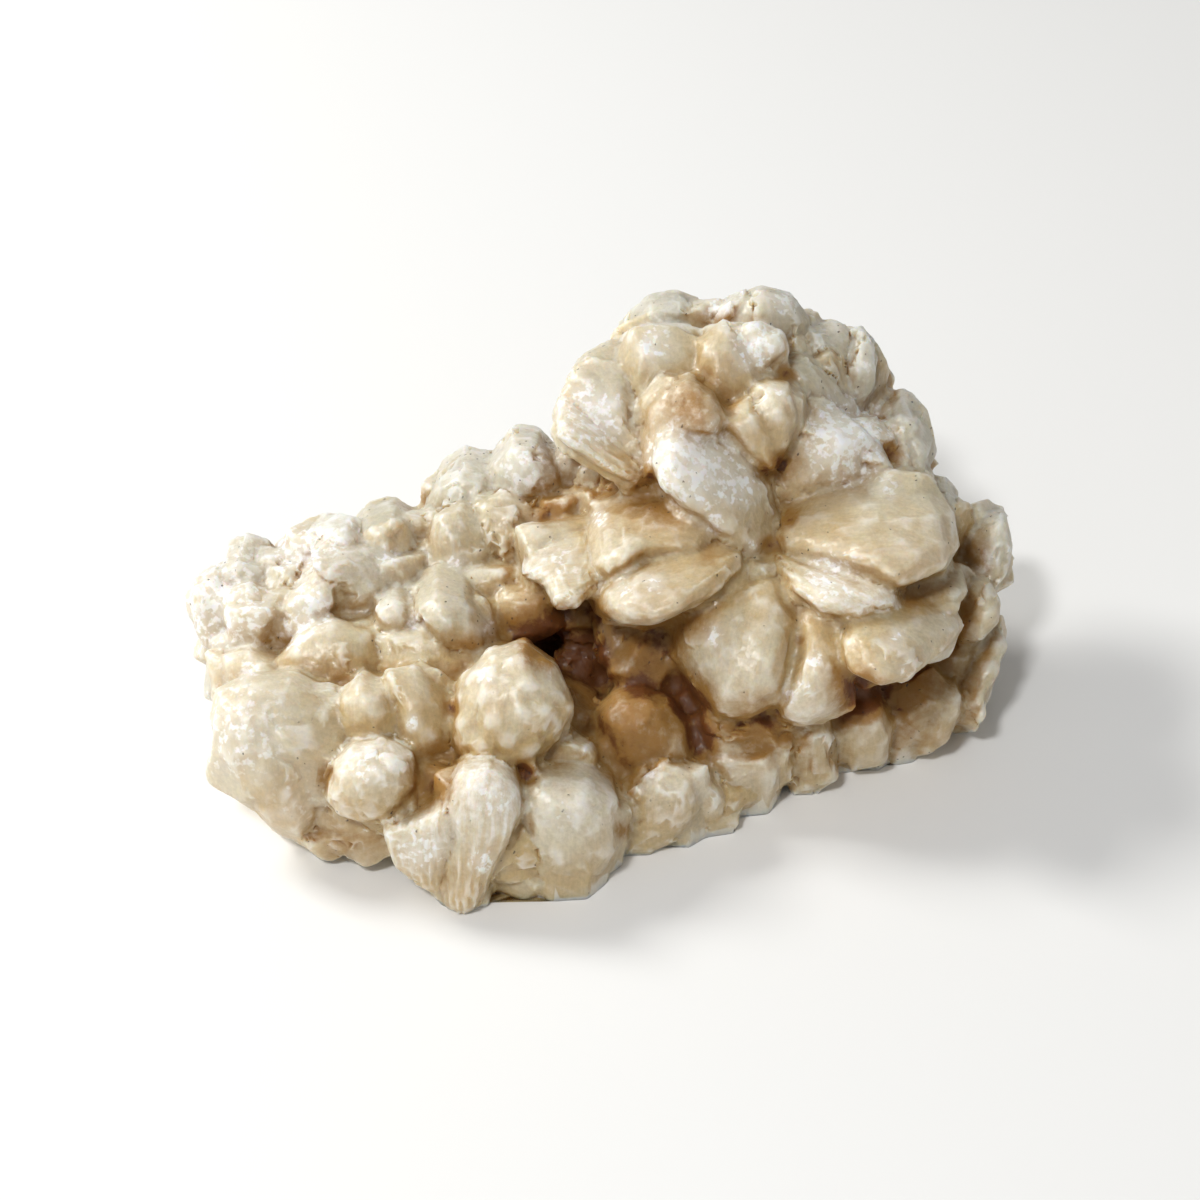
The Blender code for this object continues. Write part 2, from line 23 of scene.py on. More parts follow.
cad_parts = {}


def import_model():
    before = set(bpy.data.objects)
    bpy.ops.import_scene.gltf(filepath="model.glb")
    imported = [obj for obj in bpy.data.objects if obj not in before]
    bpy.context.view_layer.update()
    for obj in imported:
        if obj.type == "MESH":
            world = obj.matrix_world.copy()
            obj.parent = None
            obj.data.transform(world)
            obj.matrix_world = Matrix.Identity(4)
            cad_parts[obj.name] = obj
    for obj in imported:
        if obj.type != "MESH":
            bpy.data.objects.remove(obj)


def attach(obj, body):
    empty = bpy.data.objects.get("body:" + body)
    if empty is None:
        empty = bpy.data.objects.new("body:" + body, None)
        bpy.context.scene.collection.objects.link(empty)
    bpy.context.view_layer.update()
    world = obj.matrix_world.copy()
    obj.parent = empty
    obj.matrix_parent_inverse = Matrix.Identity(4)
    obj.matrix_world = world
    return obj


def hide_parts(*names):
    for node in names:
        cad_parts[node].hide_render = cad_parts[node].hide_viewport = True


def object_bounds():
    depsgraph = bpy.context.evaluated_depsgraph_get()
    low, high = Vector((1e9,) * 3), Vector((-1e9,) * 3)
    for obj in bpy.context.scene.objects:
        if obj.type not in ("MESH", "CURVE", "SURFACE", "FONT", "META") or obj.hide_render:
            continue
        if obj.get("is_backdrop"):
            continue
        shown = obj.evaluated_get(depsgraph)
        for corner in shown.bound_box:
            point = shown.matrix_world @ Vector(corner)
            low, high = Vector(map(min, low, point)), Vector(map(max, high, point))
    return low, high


log = logging.getLogger("stilbite")

MM = 0.001
NODE = "stilbite_cluster"
EDGE_ANGLE = math.radians(38)

Colour = tuple[float, float, float, float]
Socket = bpy.types.NodeSocket


class Habit(Enum):
    """How a crystal has grown."""

    PETAL = "petal"
    BLOCK = "block"
    DOME = "dome"
    PEBBLE = "pebble"
    BARREL = "barrel"
    SHARD = "shard"


class Skin(Enum):
    """What the outside of a crystal looks like."""

    WAXY = "waxy"
    PEARLY = "pearly"
    FROSTED = "frosted"
    GLASSY = "glassy"
    RIBBED = "ribbed"
    KNOBBLY = "knobbly"
    STAINED = "stained"


@dataclass(frozen=True)
class Sight:
    """The eye of the photo and the picture plane that the layout is drawn on.

    Attributes:
        elevation: How far the eye looks down, in degrees.
        distance: From the eye to the middle of the picture plane, in metres.
        height: Of the middle of the picture plane above the table, in metres.
        unit: Metres on the picture plane for one picture unit.
        middle: Of the picture, in picture units.
    """

    elevation: float = 40.0
    distance: float = 350 * MM
    height: float = 17 * MM
    unit: float = MM / 8
    middle: float = 600.0

    @property
    def up(self) -> Vector:
        """The picture plane's upward direction."""
        lean = math.radians(self.elevation)
        return Vector((0, math.sin(lean), math.cos(lean)))

    @property
    def back(self) -> Vector:
        """The direction from the specimen to the eye."""
        lean = math.radians(self.elevation)
        return Vector((0, -math.cos(lean), math.sin(lean)))

    @property
    def aim(self) -> Vector:
        """The middle of the picture plane."""
        return Vector((0, 0, self.height))

    @property
    def eye(self) -> Vector:
        """Where the eye is."""
        return self.aim + self.back * self.distance

    def place(self, across: float, down: float, height: float) -> Vector:
        """Follows a sight line down to a height.

        Args:
            across: Picture units from the picture's left side.
            down: Picture units from the picture's top.
            height: Above the table, in millimetres.

        Returns:
            The point in the specimen's frame.
        """
        on_plane = self.aim + Vector((1, 0, 0)) * (across - self.middle) * self.unit
        on_plane += self.up * (self.middle - down) * self.unit
        reach = (height * MM - self.eye.z) / (on_plane.z - self.eye.z)
        return self.eye + (on_plane - self.eye) * reach

    def picture_of(self, points: np.ndarray) -> np.ndarray:
        """Finds where points are seen.

        Args:
            points: One point in a row.

        Returns:
            Their (across, down) in picture units.
        """
        rays = points - np.array(self.eye)
        depth = -rays @ np.array(self.back)
        across = rays[:, 0] / depth * self.distance / self.unit + self.middle
        down = self.middle - rays @ np.array(self.up) / depth * self.distance / self.unit
        return np.stack((across, down), axis=1)


SIGHT = Sight()


@dataclass(frozen=True)
class Stone:
    """A crystal that is seen whole, drawn round its outline.

    Attributes:
        tip: Its outer end, as (across, down, height).
        root: Its inner end, as (across, down, height).
        depth: How far it goes back behind its outline, in millimetres.
        bulge: How far it stands out in front of its outline, in millimetres.
        skin: What its outside looks like.
        clear: How see-through grey-green it is, from 0 to 1.
        honey: How warm its colour is, from 0 to 1.
        frost: How white its outer end is, from 0 to 1.
        outline: Its corners, as (across, down).
    """

    tip: tuple[float, float, float]
    root: tuple[float, float, float]
    depth: float
    bulge: float
    skin: Skin
    clear: float
    honey: float
    frost: float
    outline: tuple[tuple[float, float], ...]


@dataclass(frozen=True)
class Shoot:
    """A smaller or half hidden crystal.

    Attributes:
        tip: Its outer end, as (across, down, height).
        root: Its inner end, as (across, down, height).
        width: In millimetres.
        thickness: In millimetres.
        habit: How it has grown.
    """

    tip: tuple[float, float, float]
    root: tuple[float, float, float]
    width: float
    thickness: float
    habit: Habit


FRONT_ROSETTE_STONES = (
    Stone((680, 430, 40), (757, 556, 26), 7, 3.0, Skin.PEARLY, 0.25, 0.2, 0.7, (
        (657, 466), (662, 443), (674, 426), (702, 424), (732, 438), (756, 462), (771, 483), (779, 516),
        (775, 545), (758, 560), (742, 554), (724, 538), (702, 517), (680, 505), (664, 487))),
    Stone((594, 540, 28), (700, 512, 29), 8, 3.2, Skin.WAXY, 0.1, 0.8, 0.25, (
        (592, 530), (597, 512), (617, 496), (650, 482), (670, 486), (692, 512), (708, 538), (690, 552),
        (640, 556), (610, 572), (597, 562))),
    Stone((600, 602, 25), (738, 558, 27), 8, 4.2, Skin.PEARLY, 0.15, 0.8, 0.3, (
        (599, 596), (608, 574), (640, 551), (678, 540), (716, 539), (742, 551), (738, 570), (720, 588),
        (687, 608), (655, 622), (626, 621), (606, 611))),
    Stone((735, 708, 16), (772, 572, 25), 9, 4.2, Skin.PEARLY, 0.1, 0.45, 0.3, (
        (679, 632), (688, 612), (708, 594), (735, 580), (758, 574), (778, 584), (792, 606), (797, 636),
        (789, 668), (777, 694), (750, 710), (720, 708), (697, 682), (681, 655))),
    Stone((815, 722, 15), (800, 606, 24), 8, 3.0, Skin.PEARLY, 0.05, 0.55, 0.55, (
        (800, 612), (818, 608), (840, 620), (862, 638), (867, 654), (850, 670), (845, 696), (826, 712),
        (806, 720), (784, 712), (788, 690), (796, 658), (799, 630))),
    Stone((756, 563, 27), (756, 592, 24), 5, 1.4, Skin.STAINED, 0.2, 0.6, 0.1, (
        (735, 572), (752, 560), (773, 564), (777, 580), (760, 588), (740, 584))),
    Stone((890, 598, 27), (768, 550, 26), 5, 2.2, Skin.RIBBED, 0.0, 0.15, 0.85, (
        (768, 549), (792, 555), (826, 564), (862, 579), (888, 590), (891, 602), (853, 612), (824, 611),
        (798, 594), (784, 574))),
    Stone((955, 645, 20), (862, 606, 24), 9, 3.4, Skin.WAXY, 0.1, 0.35, 0.3, (
        (849, 612), (868, 602), (892, 594), (920, 592), (948, 604), (958, 628), (946, 648), (928, 660),
        (909, 677), (881, 683), (855, 670), (846, 642))),
    Stone((958, 580, 22), (890, 592, 22), 8, 2.2, Skin.WAXY, 0.35, 0.35, 0.1, (
        (886, 590), (906, 571), (938, 557), (960, 568), (966, 590), (955, 612), (920, 606), (896, 602))),
    Stone((948, 520, 30), (779, 525, 27), 12, 4.4, Skin.PEARLY, 0.15, 0.75, 0.25, (
        (779, 518), (806, 488), (839, 467), (872, 462), (900, 466), (929, 483), (948, 514), (952, 544),
        (938, 568), (900, 582), (862, 574), (824, 560), (788, 549), (779, 535))),
    Stone((862, 421, 33), (776, 508, 27), 9, 3.2, Skin.WAXY, 0.05, 0.0, 1.0, (
        (772, 486), (786, 455), (806, 429), (834, 419), (862, 422), (878, 444), (888, 468), (846, 466),
        (815, 480), (791, 498), (777, 512))),
)

UPPER_ROSETTE_STONES = (
    Stone((560, 414, 40), (647, 479, 33), 6, 1.6, Skin.RIBBED, 0.0, 0.15, 0.9, (
        (561, 437), (560, 410), (565, 392), (590, 393), (617, 408), (638, 436), (650, 466), (648, 479),
        (631, 481), (598, 463))),
    Stone((588, 352, 42), (646, 466, 34), 8, 3.0, Skin.WAXY, 0.35, 0.5, 0.25, (
        (566, 384), (584, 356), (612, 341), (640, 357), (657, 386), (648, 420), (647, 465), (636, 438),
        (617, 408), (590, 392))),
    Stone((660, 324, 44), (665, 393, 38), 8, 3.0, Skin.PEARLY, 0.3, 0.3, 0.8, (
        (626, 334), (650, 325), (683, 326), (706, 330), (704, 356), (697, 375), (655, 392), (631, 366))),
    Stone((668, 303, 45), (670, 346, 39), 4, 2.0, Skin.GLASSY, 0.8, 0.1, 0.4, (
        (618, 340), (632, 322), (650, 306), (678, 303), (702, 313), (704, 332), (660, 334))),
    Stone((737, 297, 46), (712, 332, 41), 3, 1.2, Skin.GLASSY, 0.4, 0.1, 0.8, (
        (700, 316), (725, 301), (741, 296), (734, 318), (716, 331), (702, 328))),
    Stone((763, 288, 46.5), (765, 345, 40), 5, 3.2, Skin.GLASSY, 0.6, 0.35, 0.2, (
        (726, 318), (742, 297), (763, 289), (792, 297), (808, 320), (800, 336), (763, 341), (735, 334))),
    Stone((760, 320, 47), (762, 374, 42), 5, 2.0, Skin.KNOBBLY, 0.0, 0.2, 1.0, (
        (735, 330), (758, 321), (780, 330), (786, 350), (775, 368), (758, 374), (742, 360))),
    Stone((724, 321, 47), (738, 418, 38), 7, 2.6, Skin.WAXY, 0.1, 0.85, 0.1, (
        (700, 342), (724, 321), (742, 340), (759, 368), (764, 394), (737, 418), (712, 404), (697, 370))),
    Stone((690, 376, 44), (653, 478, 34), 9, 3.2, Skin.WAXY, 0.05, 0.85, 0.1, (
        (645, 410), (661, 387), (688, 376), (712, 393), (724, 417), (714, 434), (680, 428), (664, 442),
        (655, 468), (645, 478), (641, 446))),
    Stone((752, 402, 42), (760, 460, 35), 6, 2.2, Skin.WAXY, 0.05, 0.9, 0.05, (
        (722, 418), (748, 402), (768, 418), (776, 445), (773, 469), (758, 461), (736, 437))),
    Stone((776, 386, 43), (770, 463, 34), 7, 2.8, Skin.WAXY, 0.1, 0.7, 0.35, (
        (749, 398), (768, 386), (789, 388), (797, 416), (788, 445), (773, 462), (764, 430))),
    Stone((812, 357, 41), (842, 418, 33), 7, 2.2, Skin.GLASSY, 0.5, 0.45, 0.1, (
        (786, 364), (808, 357), (834, 378), (856, 408), (830, 418), (810, 408), (792, 386))),
    Stone((800, 340, 42), (800, 362, 38), 4, 1.2, Skin.RIBBED, 0.2, 0.3, 0.4, (
        (782, 351), (796, 340), (811, 349), (808, 362), (790, 364))),
    Stone((825, 324, 42), (840, 380, 35), 4, 2.2, Skin.GLASSY, 0.7, 0.1, 0.4, (
        (806, 346), (812, 330), (838, 325), (853, 336), (850, 378), (836, 380), (822, 368))),
    Stone((868, 332, 41), (852, 412, 32), 5, 2.6, Skin.GLASSY, 0.75, 0.15, 0.3, (
        (846, 337), (862, 331), (879, 357), (876, 384), (868, 401), (858, 413), (842, 402), (838, 370))),
    Stone((912, 428, 33), (880, 474, 25), 6, 2.2, Skin.KNOBBLY, 0.6, 0.3, 0.3, (
        (865, 415), (891, 412), (914, 430), (927, 459), (925, 480), (908, 474), (882, 461), (871, 437))),
)

RIGHT_END_STONES = (
    Stone((948, 496, 27), (945, 536, 21), 5, 1.6, Skin.GLASSY, 0.6, 0.1, 0.3, (
        (932, 498), (950, 496), (963, 512), (953, 535), (940, 520))),
    Stone((1002, 522, 23), (968, 580, 16), 8, 2.6, Skin.GLASSY, 0.65, 0.15, 0.35, (
        (962, 524), (985, 515), (1004, 516), (1011, 545), (1006, 573), (990, 592), (974, 580),
        (958, 552))),
    Stone((990, 584, 18), (955, 636, 13), 8, 3.2, Skin.WAXY, 0.5, 0.5, 0.15, (
        (952, 566), (972, 570), (988, 580), (999, 602), (996, 622), (978, 640), (960, 640), (952, 618))),
    Stone((1004, 640, 11), (966, 700, 6), 8, 2.2, Skin.KNOBBLY, 0.5, 0.35, 0.2, (
        (956, 648), (980, 636), (998, 626), (1007, 648), (996, 681), (986, 704), (981, 727), (964, 720),
        (950, 690))),
    Stone((940, 684, 10), (922, 752, 1), 8, 2.8, Skin.WAXY, 0.3, 0.4, 0.1, (
        (884, 712), (902, 691), (930, 682), (956, 688), (962, 708), (948, 738), (928, 753), (896, 750))),
    Stone((856, 706, 11), (856, 767, 1), 7, 2.2, Skin.WAXY, 0.3, 0.35, 0.15, (
        (826, 724), (853, 707), (880, 709), (892, 730), (886, 758), (854, 768), (836, 752))),
    Stone((812, 720, 11), (812, 792, 0), 7, 1.8, Skin.STAINED, 0.3, 0.4, 0.1, (
        (794, 732), (812, 719), (828, 724), (832, 750), (836, 776), (814, 790), (793, 793), (786, 758))),
    Stone((745, 708, 13), (758, 750, 8), 7, 1.6, Skin.STAINED, 0.2, 0.6, 0.0, (
        (704, 704), (749, 712), (788, 718), (807, 732), (797, 752), (749, 746), (710, 735))),
)

FRONT_ROW_STONES = (
    Stone((742, 737, 11), (740, 796, 1), 7, 1.4, Skin.FROSTED, 0.1, 0.2, 0.3, (
        (700, 752), (716, 737), (749, 744), (787, 752), (790, 781), (769, 794), (722, 806), (702, 792),
        (692, 772))),
    Stone((662, 767, 11), (656, 850, 0), 8, 2.2, Skin.FROSTED, 0.15, 0.35, 0.35, (
        (620, 800), (638, 777), (663, 767), (690, 776), (696, 812), (672, 840), (648, 852), (622, 848))),
    Stone((704, 784, 8), (704, 828, 0), 5, 1.4, Skin.FROSTED, 0.1, 0.2, 0.45, (
        (688, 784), (704, 780), (722, 796), (724, 816), (702, 828), (688, 818))),
    Stone((566, 784, 13), (568, 882, 0), 10, 3.6, Skin.PEARLY, 0.25, 0.15, 0.55, (
        (516, 798), (541, 783), (586, 785), (612, 802), (618, 842), (600, 870), (575, 880), (545, 878),
        (524, 862), (514, 830))),
    Stone((472, 774, 17), (462, 911, 0), 8, 2.6, Skin.RIBBED, 0.05, 0.2, 0.85, (
        (444, 798), (462, 775), (490, 774), (512, 788), (519, 812), (508, 838), (497, 860), (485, 888),
        (474, 906), (461, 911), (446, 900), (444, 862), (452, 826))),
    Stone((430, 818, 13), (428, 892, 2), 6, 1.2, Skin.RIBBED, 0.05, 0.15, 0.7, (
        (384, 832), (412, 827), (442, 812), (454, 838), (448, 868), (444, 894), (420, 884), (394, 862))),
    Stone((350, 812, 9), (345, 854, 2), 6, 1.2, Skin.STAINED, 0.1, 0.5, 0.25, (
        (286, 826), (318, 830), (352, 826), (382, 818), (392, 842), (366, 852), (336, 855), (304, 846))),
    Stone((262, 676, 20), (285, 836, 5), 13, 5.0, Skin.WAXY, 0.05, 0.45, 0.3, (
        (213, 722), (219, 692), (250, 678), (292, 675), (326, 692), (342, 735), (332, 772), (321, 812),
        (300, 834), (270, 822), (243, 790), (222, 752))),
    Stone((362, 676, 21), (362, 745, 14), 8, 3.0, Skin.WAXY, 0.0, 0.5, 0.3, (
        (341, 696), (360, 677), (384, 688), (398, 708), (390, 736), (362, 745), (343, 728))),
    Stone((405, 665, 21), (426, 762, 13), 9, 3.0, Skin.WAXY, 0.1, 0.65, 0.15, (
        (385, 672), (416, 665), (442, 687), (454, 712), (443, 750), (424, 764), (403, 746), (397, 710))),
    Stone((372, 741, 17), (368, 822, 9), 10, 4.2, Skin.FROSTED, 0.05, 0.25, 0.65, (
        (327, 796), (332, 760), (352, 744), (384, 740), (410, 754), (416, 784), (396, 812), (366, 822),
        (338, 812))),
    Stone((436, 754, 14), (416, 824, 8), 6, 1.6, Skin.WAXY, 0.0, 0.95, 0.05, (
        (408, 754), (440, 764), (464, 774), (448, 808), (414, 824), (398, 804))),
    Stone((508, 647, 24), (500, 782, 11), 12, 4.4, Skin.KNOBBLY, 0.0, 0.4, 0.35, (
        (453, 724), (463, 680), (492, 653), (522, 647), (552, 668), (571, 706), (553, 740), (515, 772),
        (486, 774), (458, 756))),
    Stone((572, 735, 13), (566, 788, 7), 8, 2.6, Skin.WAXY, 0.1, 0.6, 0.1, (
        (530, 776), (548, 745), (573, 735), (597, 753), (594, 784), (562, 790))),
    Stone((642, 692, 15), (642, 776, 6), 9, 4.0, Skin.WAXY, 0.3, 0.6, 0.15, (
        (600, 716), (616, 697), (644, 691), (669, 700), (684, 720), (691, 752), (673, 772), (640, 778),
        (612, 758))),
    Stone((630, 612, 18), (642, 682, 12), 9, 2.0, Skin.STAINED, 0.5, 0.85, 0.0, (
        (594, 614), (630, 618), (672, 622), (688, 640), (692, 660), (674, 682), (630, 683), (600, 658))),
)

LEFT_FIELD_STONES = (
    Stone((456, 596, 23), (470, 657, 14), 8, 3.6, Skin.WAXY, 0.4, 0.45, 0.2, (
        (420, 612), (438, 597), (467, 598), (489, 617), (504, 634), (499, 652), (476, 658), (450, 640),
        (433, 634))),
    Stone((398, 600, 22), (406, 635, 17), 6, 2.0, Skin.PEARLY, 0.3, 0.4, 0.6, (
        (376, 611), (397, 600), (420, 609), (430, 628), (412, 634), (384, 629))),
    Stone((330, 620, 20), (330, 690, 14), 9, 2.6, Skin.WAXY, 0.1, 0.5, 0.05, (
        (280, 660), (300, 634), (332, 620), (372, 632), (380, 664), (366, 688), (320, 690), (292, 680))),
    Stone((430, 629, 19), (430, 690, 14), 8, 2.2, Skin.KNOBBLY, 0.1, 0.45, 0.3, (
        (378, 634), (420, 629), (457, 643), (477, 661), (458, 688), (412, 684), (380, 672))),
    Stone((208, 573, 21), (214, 652, 12), 8, 2.6, Skin.FROSTED, 0.2, 0.25, 0.5, (
        (191, 602), (193, 583), (217, 573), (236, 583), (240, 615), (231, 643), (209, 653), (197, 630))),
    Stone((245, 562, 22), (246, 593, 17), 6, 1.6, Skin.GLASSY, 0.5, 0.1, 0.6, (
        (221, 568), (240, 561), (262, 568), (271, 590), (249, 593), (227, 584))),
    Stone((326, 526, 25), (292, 580, 17), 5, 1.6, Skin.GLASSY, 0.25, 0.0, 1.0, (
        (266, 569), (271, 550), (314, 526), (343, 529), (349, 541), (328, 556), (296, 574), (268, 579))),
    Stone((322, 568, 23), (286, 648, 15), 8, 3.0, Skin.KNOBBLY, 0.05, 0.2, 0.9, (
        (279, 606), (292, 587), (319, 568), (337, 582), (334, 606), (309, 630), (289, 648), (274, 646))),
    Stone((366, 552, 24), (392, 607, 16), 8, 2.6, Skin.FROSTED, 0.3, 0.5, 0.6, (
        (314, 566), (346, 553), (388, 550), (416, 568), (426, 588), (416, 606), (380, 602), (338, 587))),
    Stone((250, 586, 21), (250, 650, 14), 8, 2.6, Skin.FROSTED, 0.1, 0.5, 0.4, (
        (226, 592), (250, 585), (274, 600), (277, 640), (252, 651), (228, 641))),
    Stone((252, 648, 17), (252, 684, 13), 7, 2.2, Skin.PEARLY, 0.05, 0.3, 0.6, (
        (224, 656), (250, 648), (276, 658), (279, 676), (252, 685), (227, 680))),
    Stone((216, 652, 15), (218, 712, 10), 7, 2.0, Skin.FROSTED, 0.1, 0.3, 0.4, (
        (206, 652), (228, 655), (236, 690), (224, 706), (212, 700))),
)

BACK_RIDGE_STONES = (
    Stone((464, 467, 28), (462, 512, 22), 8, 3.0, Skin.GLASSY, 0.6, 0.0, 0.6, (
        (427, 504), (439, 481), (462, 467), (485, 472), (500, 494), (486, 508), (450, 512))),
    Stone((528, 438, 31), (526, 504, 23), 9, 3.6, Skin.GLASSY, 0.6, 0.0, 0.6, (
        (492, 463), (513, 439), (536, 441), (559, 467), (562, 486), (540, 502), (513, 504), (495, 490))),
    Stone((566, 446, 30), (566, 500, 23), 6, 2.0, Skin.GLASSY, 0.6, 0.25, 0.2, (
        (553, 458), (565, 446), (583, 452), (587, 488), (572, 500), (555, 490))),
    Stone((600, 456, 30), (598, 494, 25), 6, 2.2, Skin.GLASSY, 0.55, 0.3, 0.2, (
        (577, 470), (590, 457), (612, 458), (624, 478), (616, 493), (586, 495))),
    Stone((380, 512, 25), (386, 570, 18), 8, 2.6, Skin.GLASSY, 0.55, 0.45, 0.1, (
        (346, 544), (365, 519), (393, 511), (412, 523), (426, 550), (417, 570), (384, 558))),
    Stone((458, 505, 26), (466, 586, 18), 8, 2.8, Skin.GLASSY, 0.35, 0.6, 0.15, (
        (430, 541), (436, 517), (462, 506), (486, 522), (500, 550), (494, 570), (466, 578), (450, 590),
        (434, 566))),
    Stone((505, 492, 26), (512, 564, 21), 7, 2.4, Skin.STAINED, 0.3, 0.75, 0.05, (
        (476, 505), (503, 492), (532, 503), (540, 522), (524, 542), (505, 564), (482, 545))),
    Stone((574, 489, 27), (566, 527, 23), 5, 1.4, Skin.STAINED, 0.3, 0.7, 0.1, (
        (540, 500), (575, 488), (602, 492), (602, 520), (562, 528), (540, 526))),
    Stone((524, 558, 25), (602, 544, 26), 8, 2.6, Skin.RIBBED, 0.0, 0.15, 0.8, (
        (521, 542), (534, 536), (562, 528), (592, 522), (600, 545), (601, 566), (594, 584), (573, 606),
        (556, 606), (546, 584), (524, 574), (527, 558))),
    Stone((482, 562, 22), (485, 604, 17), 7, 2.2, Skin.PEARLY, 0.1, 0.45, 0.5, (
        (448, 574), (476, 566), (512, 564), (522, 590), (504, 603), (466, 594))),
    Stone((522, 587, 21), (515, 641, 14), 8, 2.4, Skin.WAXY, 0.1, 0.7, 0.1, (
        (476, 610), (504, 588), (545, 586), (555, 612), (564, 626), (536, 640), (503, 641))),
    Stone((585, 600, 18), (578, 646, 12), 6, 1.8, Skin.STAINED, 0.2, 0.9, 0.0, (
        (560, 612), (582, 600), (603, 606), (605, 642), (576, 647), (556, 632))),
    Stone((575, 644, 12), (574, 684, 8), 5, 2.0, Skin.STAINED, 0.5, 0.6, 0.0, (
        (556, 652), (575, 643), (593, 652), (593, 676), (571, 684), (556, 670))),
)

FRONT_ROSETTE_SHOOTS = (
    Shoot((677, 422, 40), (755, 558, 25), 14.0, 7.0, Habit.PETAL),
    Shoot((595, 533, 28), (728, 515, 28), 12.0, 9.0, Habit.PETAL),
    Shoot((596, 600, 25), (749, 563, 27), 10.0, 9.0, Habit.PETAL),
    Shoot((728, 708, 16), (772, 565, 25), 13.0, 9.0, Habit.PETAL),
    Shoot((690, 670, 18), (730, 600, 22), 7.0, 5.0, Habit.PETAL),
    Shoot((757, 576, 26), (760, 560, 20), 5.0, 4.0, Habit.PEBBLE),
    Shoot((828, 720, 15), (790, 590, 24), 10.0, 8.0, Habit.PETAL),
    Shoot((957, 645, 20), (864, 595, 23), 11.0, 9.0, Habit.DOME),
    Shoot((955, 590, 23), (880, 590, 22), 9.0, 8.0, Habit.BLOCK),
    Shoot((885, 685, 15), (870, 630, 20), 8.0, 7.0, Habit.DOME),
    Shoot((891, 607, 27), (772, 562, 26), 6.5, 5.0, Habit.PETAL),
    Shoot((949, 523, 30), (776, 534, 26), 14.0, 12.0, Habit.PETAL),
    Shoot((859, 422, 38), (773, 504, 30), 12.5, 9.0, Habit.PETAL),
    Shoot((920, 455, 32), (860, 480, 27), 9.0, 8.0, Habit.BLOCK),
    Shoot((632, 688, 14), (665, 615, 20), 9.5, 7.0, Habit.BLOCK),
    Shoot((680, 665, 15), (700, 630, 19), 5.0, 5.0, Habit.PEBBLE),
    Shoot((755, 750, 8), (770, 690, 13), 14.0, 8.0, Habit.DOME),
    Shoot((722, 742, 9), (735, 690, 13), 8.0, 7.0, Habit.BLOCK),
)
UPPER_ROSETTE_SHOOTS = (
    Shoot((575, 372, 42), (645, 478, 34), 12.5, 8.0, Habit.PETAL),
    Shoot((562, 415, 39), (640, 480, 34), 7.0, 6.0, Habit.PETAL),
    Shoot((655, 328, 46), (670, 450, 36), 13.0, 8.0, Habit.PETAL),
    Shoot((678, 303, 45), (690, 380, 36), 11.5, 7.0, Habit.BLOCK),
    Shoot((632, 320, 44), (660, 400, 37), 7.0, 6.0, Habit.BLOCK),
    Shoot((733, 302, 45), (735, 380, 37), 7.0, 5.0, Habit.PETAL),
    Shoot((770, 290, 46), (775, 390, 35), 9.5, 8.0, Habit.DOME),
    Shoot((803, 308, 43), (795, 390, 34), 6.0, 6.0, Habit.PEBBLE),
    Shoot((757, 330, 47), (765, 400, 39), 8.0, 6.0, Habit.BLOCK),
    Shoot((728, 322, 47), (735, 440, 36), 8.5, 8.0, Habit.PETAL),
    Shoot((688, 378, 44), (665, 475, 34), 10.5, 8.0, Habit.PETAL),
    Shoot((640, 400, 41), (655, 470, 34), 5.0, 5.0, Habit.PETAL),
    Shoot((785, 385, 43), (745, 465, 34), 9.0, 8.0, Habit.BLOCK),
    Shoot((738, 398, 42), (735, 460, 34), 6.5, 6.0, Habit.PEBBLE),
    Shoot((812, 352, 41), (840, 425, 32), 7.5, 6.0, Habit.BLOCK),
    Shoot((785, 345, 42), (790, 410, 35), 6.0, 6.0, Habit.PEBBLE),
    Shoot((818, 393, 38), (820, 440, 32), 5.0, 5.0, Habit.PEBBLE),
    Shoot((858, 327, 41), (850, 425, 30), 9.0, 8.0, Habit.DOME),
    Shoot((880, 358, 36), (850, 425, 28), 6.5, 6.0, Habit.PEBBLE),
    Shoot((822, 332, 40), (825, 410, 31), 5.5, 5.0, Habit.PETAL),
    Shoot((893, 412, 33), (880, 490, 24), 7.5, 6.0, Habit.BLOCK),
    Shoot((923, 445, 29), (890, 490, 23), 6.5, 6.0, Habit.PEBBLE),
)
RIGHT_END_SHOOTS = (
    Shoot((958, 497, 27), (930, 560, 20), 6.0, 6.0, Habit.PEBBLE),
    Shoot((1000, 518, 23), (945, 560, 16), 8.5, 8.0, Habit.BLOCK),
    Shoot((1008, 565, 19), (950, 575, 15), 7.5, 7.0, Habit.BLOCK),
    Shoot((985, 608, 17), (940, 600, 14), 8.5, 8.0, Habit.DOME),
    Shoot((968, 580, 21), (930, 590, 17), 6.0, 6.0, Habit.PEBBLE),
    Shoot((1006, 640, 11), (950, 640, 9), 7.0, 6.0, Habit.BLOCK),
    Shoot((997, 683, 7), (940, 670, 8), 7.0, 6.0, Habit.BLOCK),
    Shoot((978, 722, 3), (935, 700, 5), 6.0, 5.0, Habit.SHARD),
    Shoot((975, 665, 11), (930, 660, 9), 7.0, 7.0, Habit.DOME),
    Shoot((935, 725, 7), (910, 680, 11), 9.5, 8.0, Habit.DOME),
    Shoot((925, 752, 2), (910, 710, 6), 8.0, 7.0, Habit.SHARD),
    Shoot((872, 708, 10), (868, 765, 0), 8.0, 7.0, Habit.BLOCK),
    Shoot((848, 715, 9), (840, 770, 0), 6.5, 6.0, Habit.PEBBLE),
    Shoot((904, 712, 9), (900, 760, 0), 6.0, 6.0, Habit.PEBBLE),
    Shoot((815, 728, 8), (812, 785, 0), 7.0, 6.0, Habit.BLOCK),
)
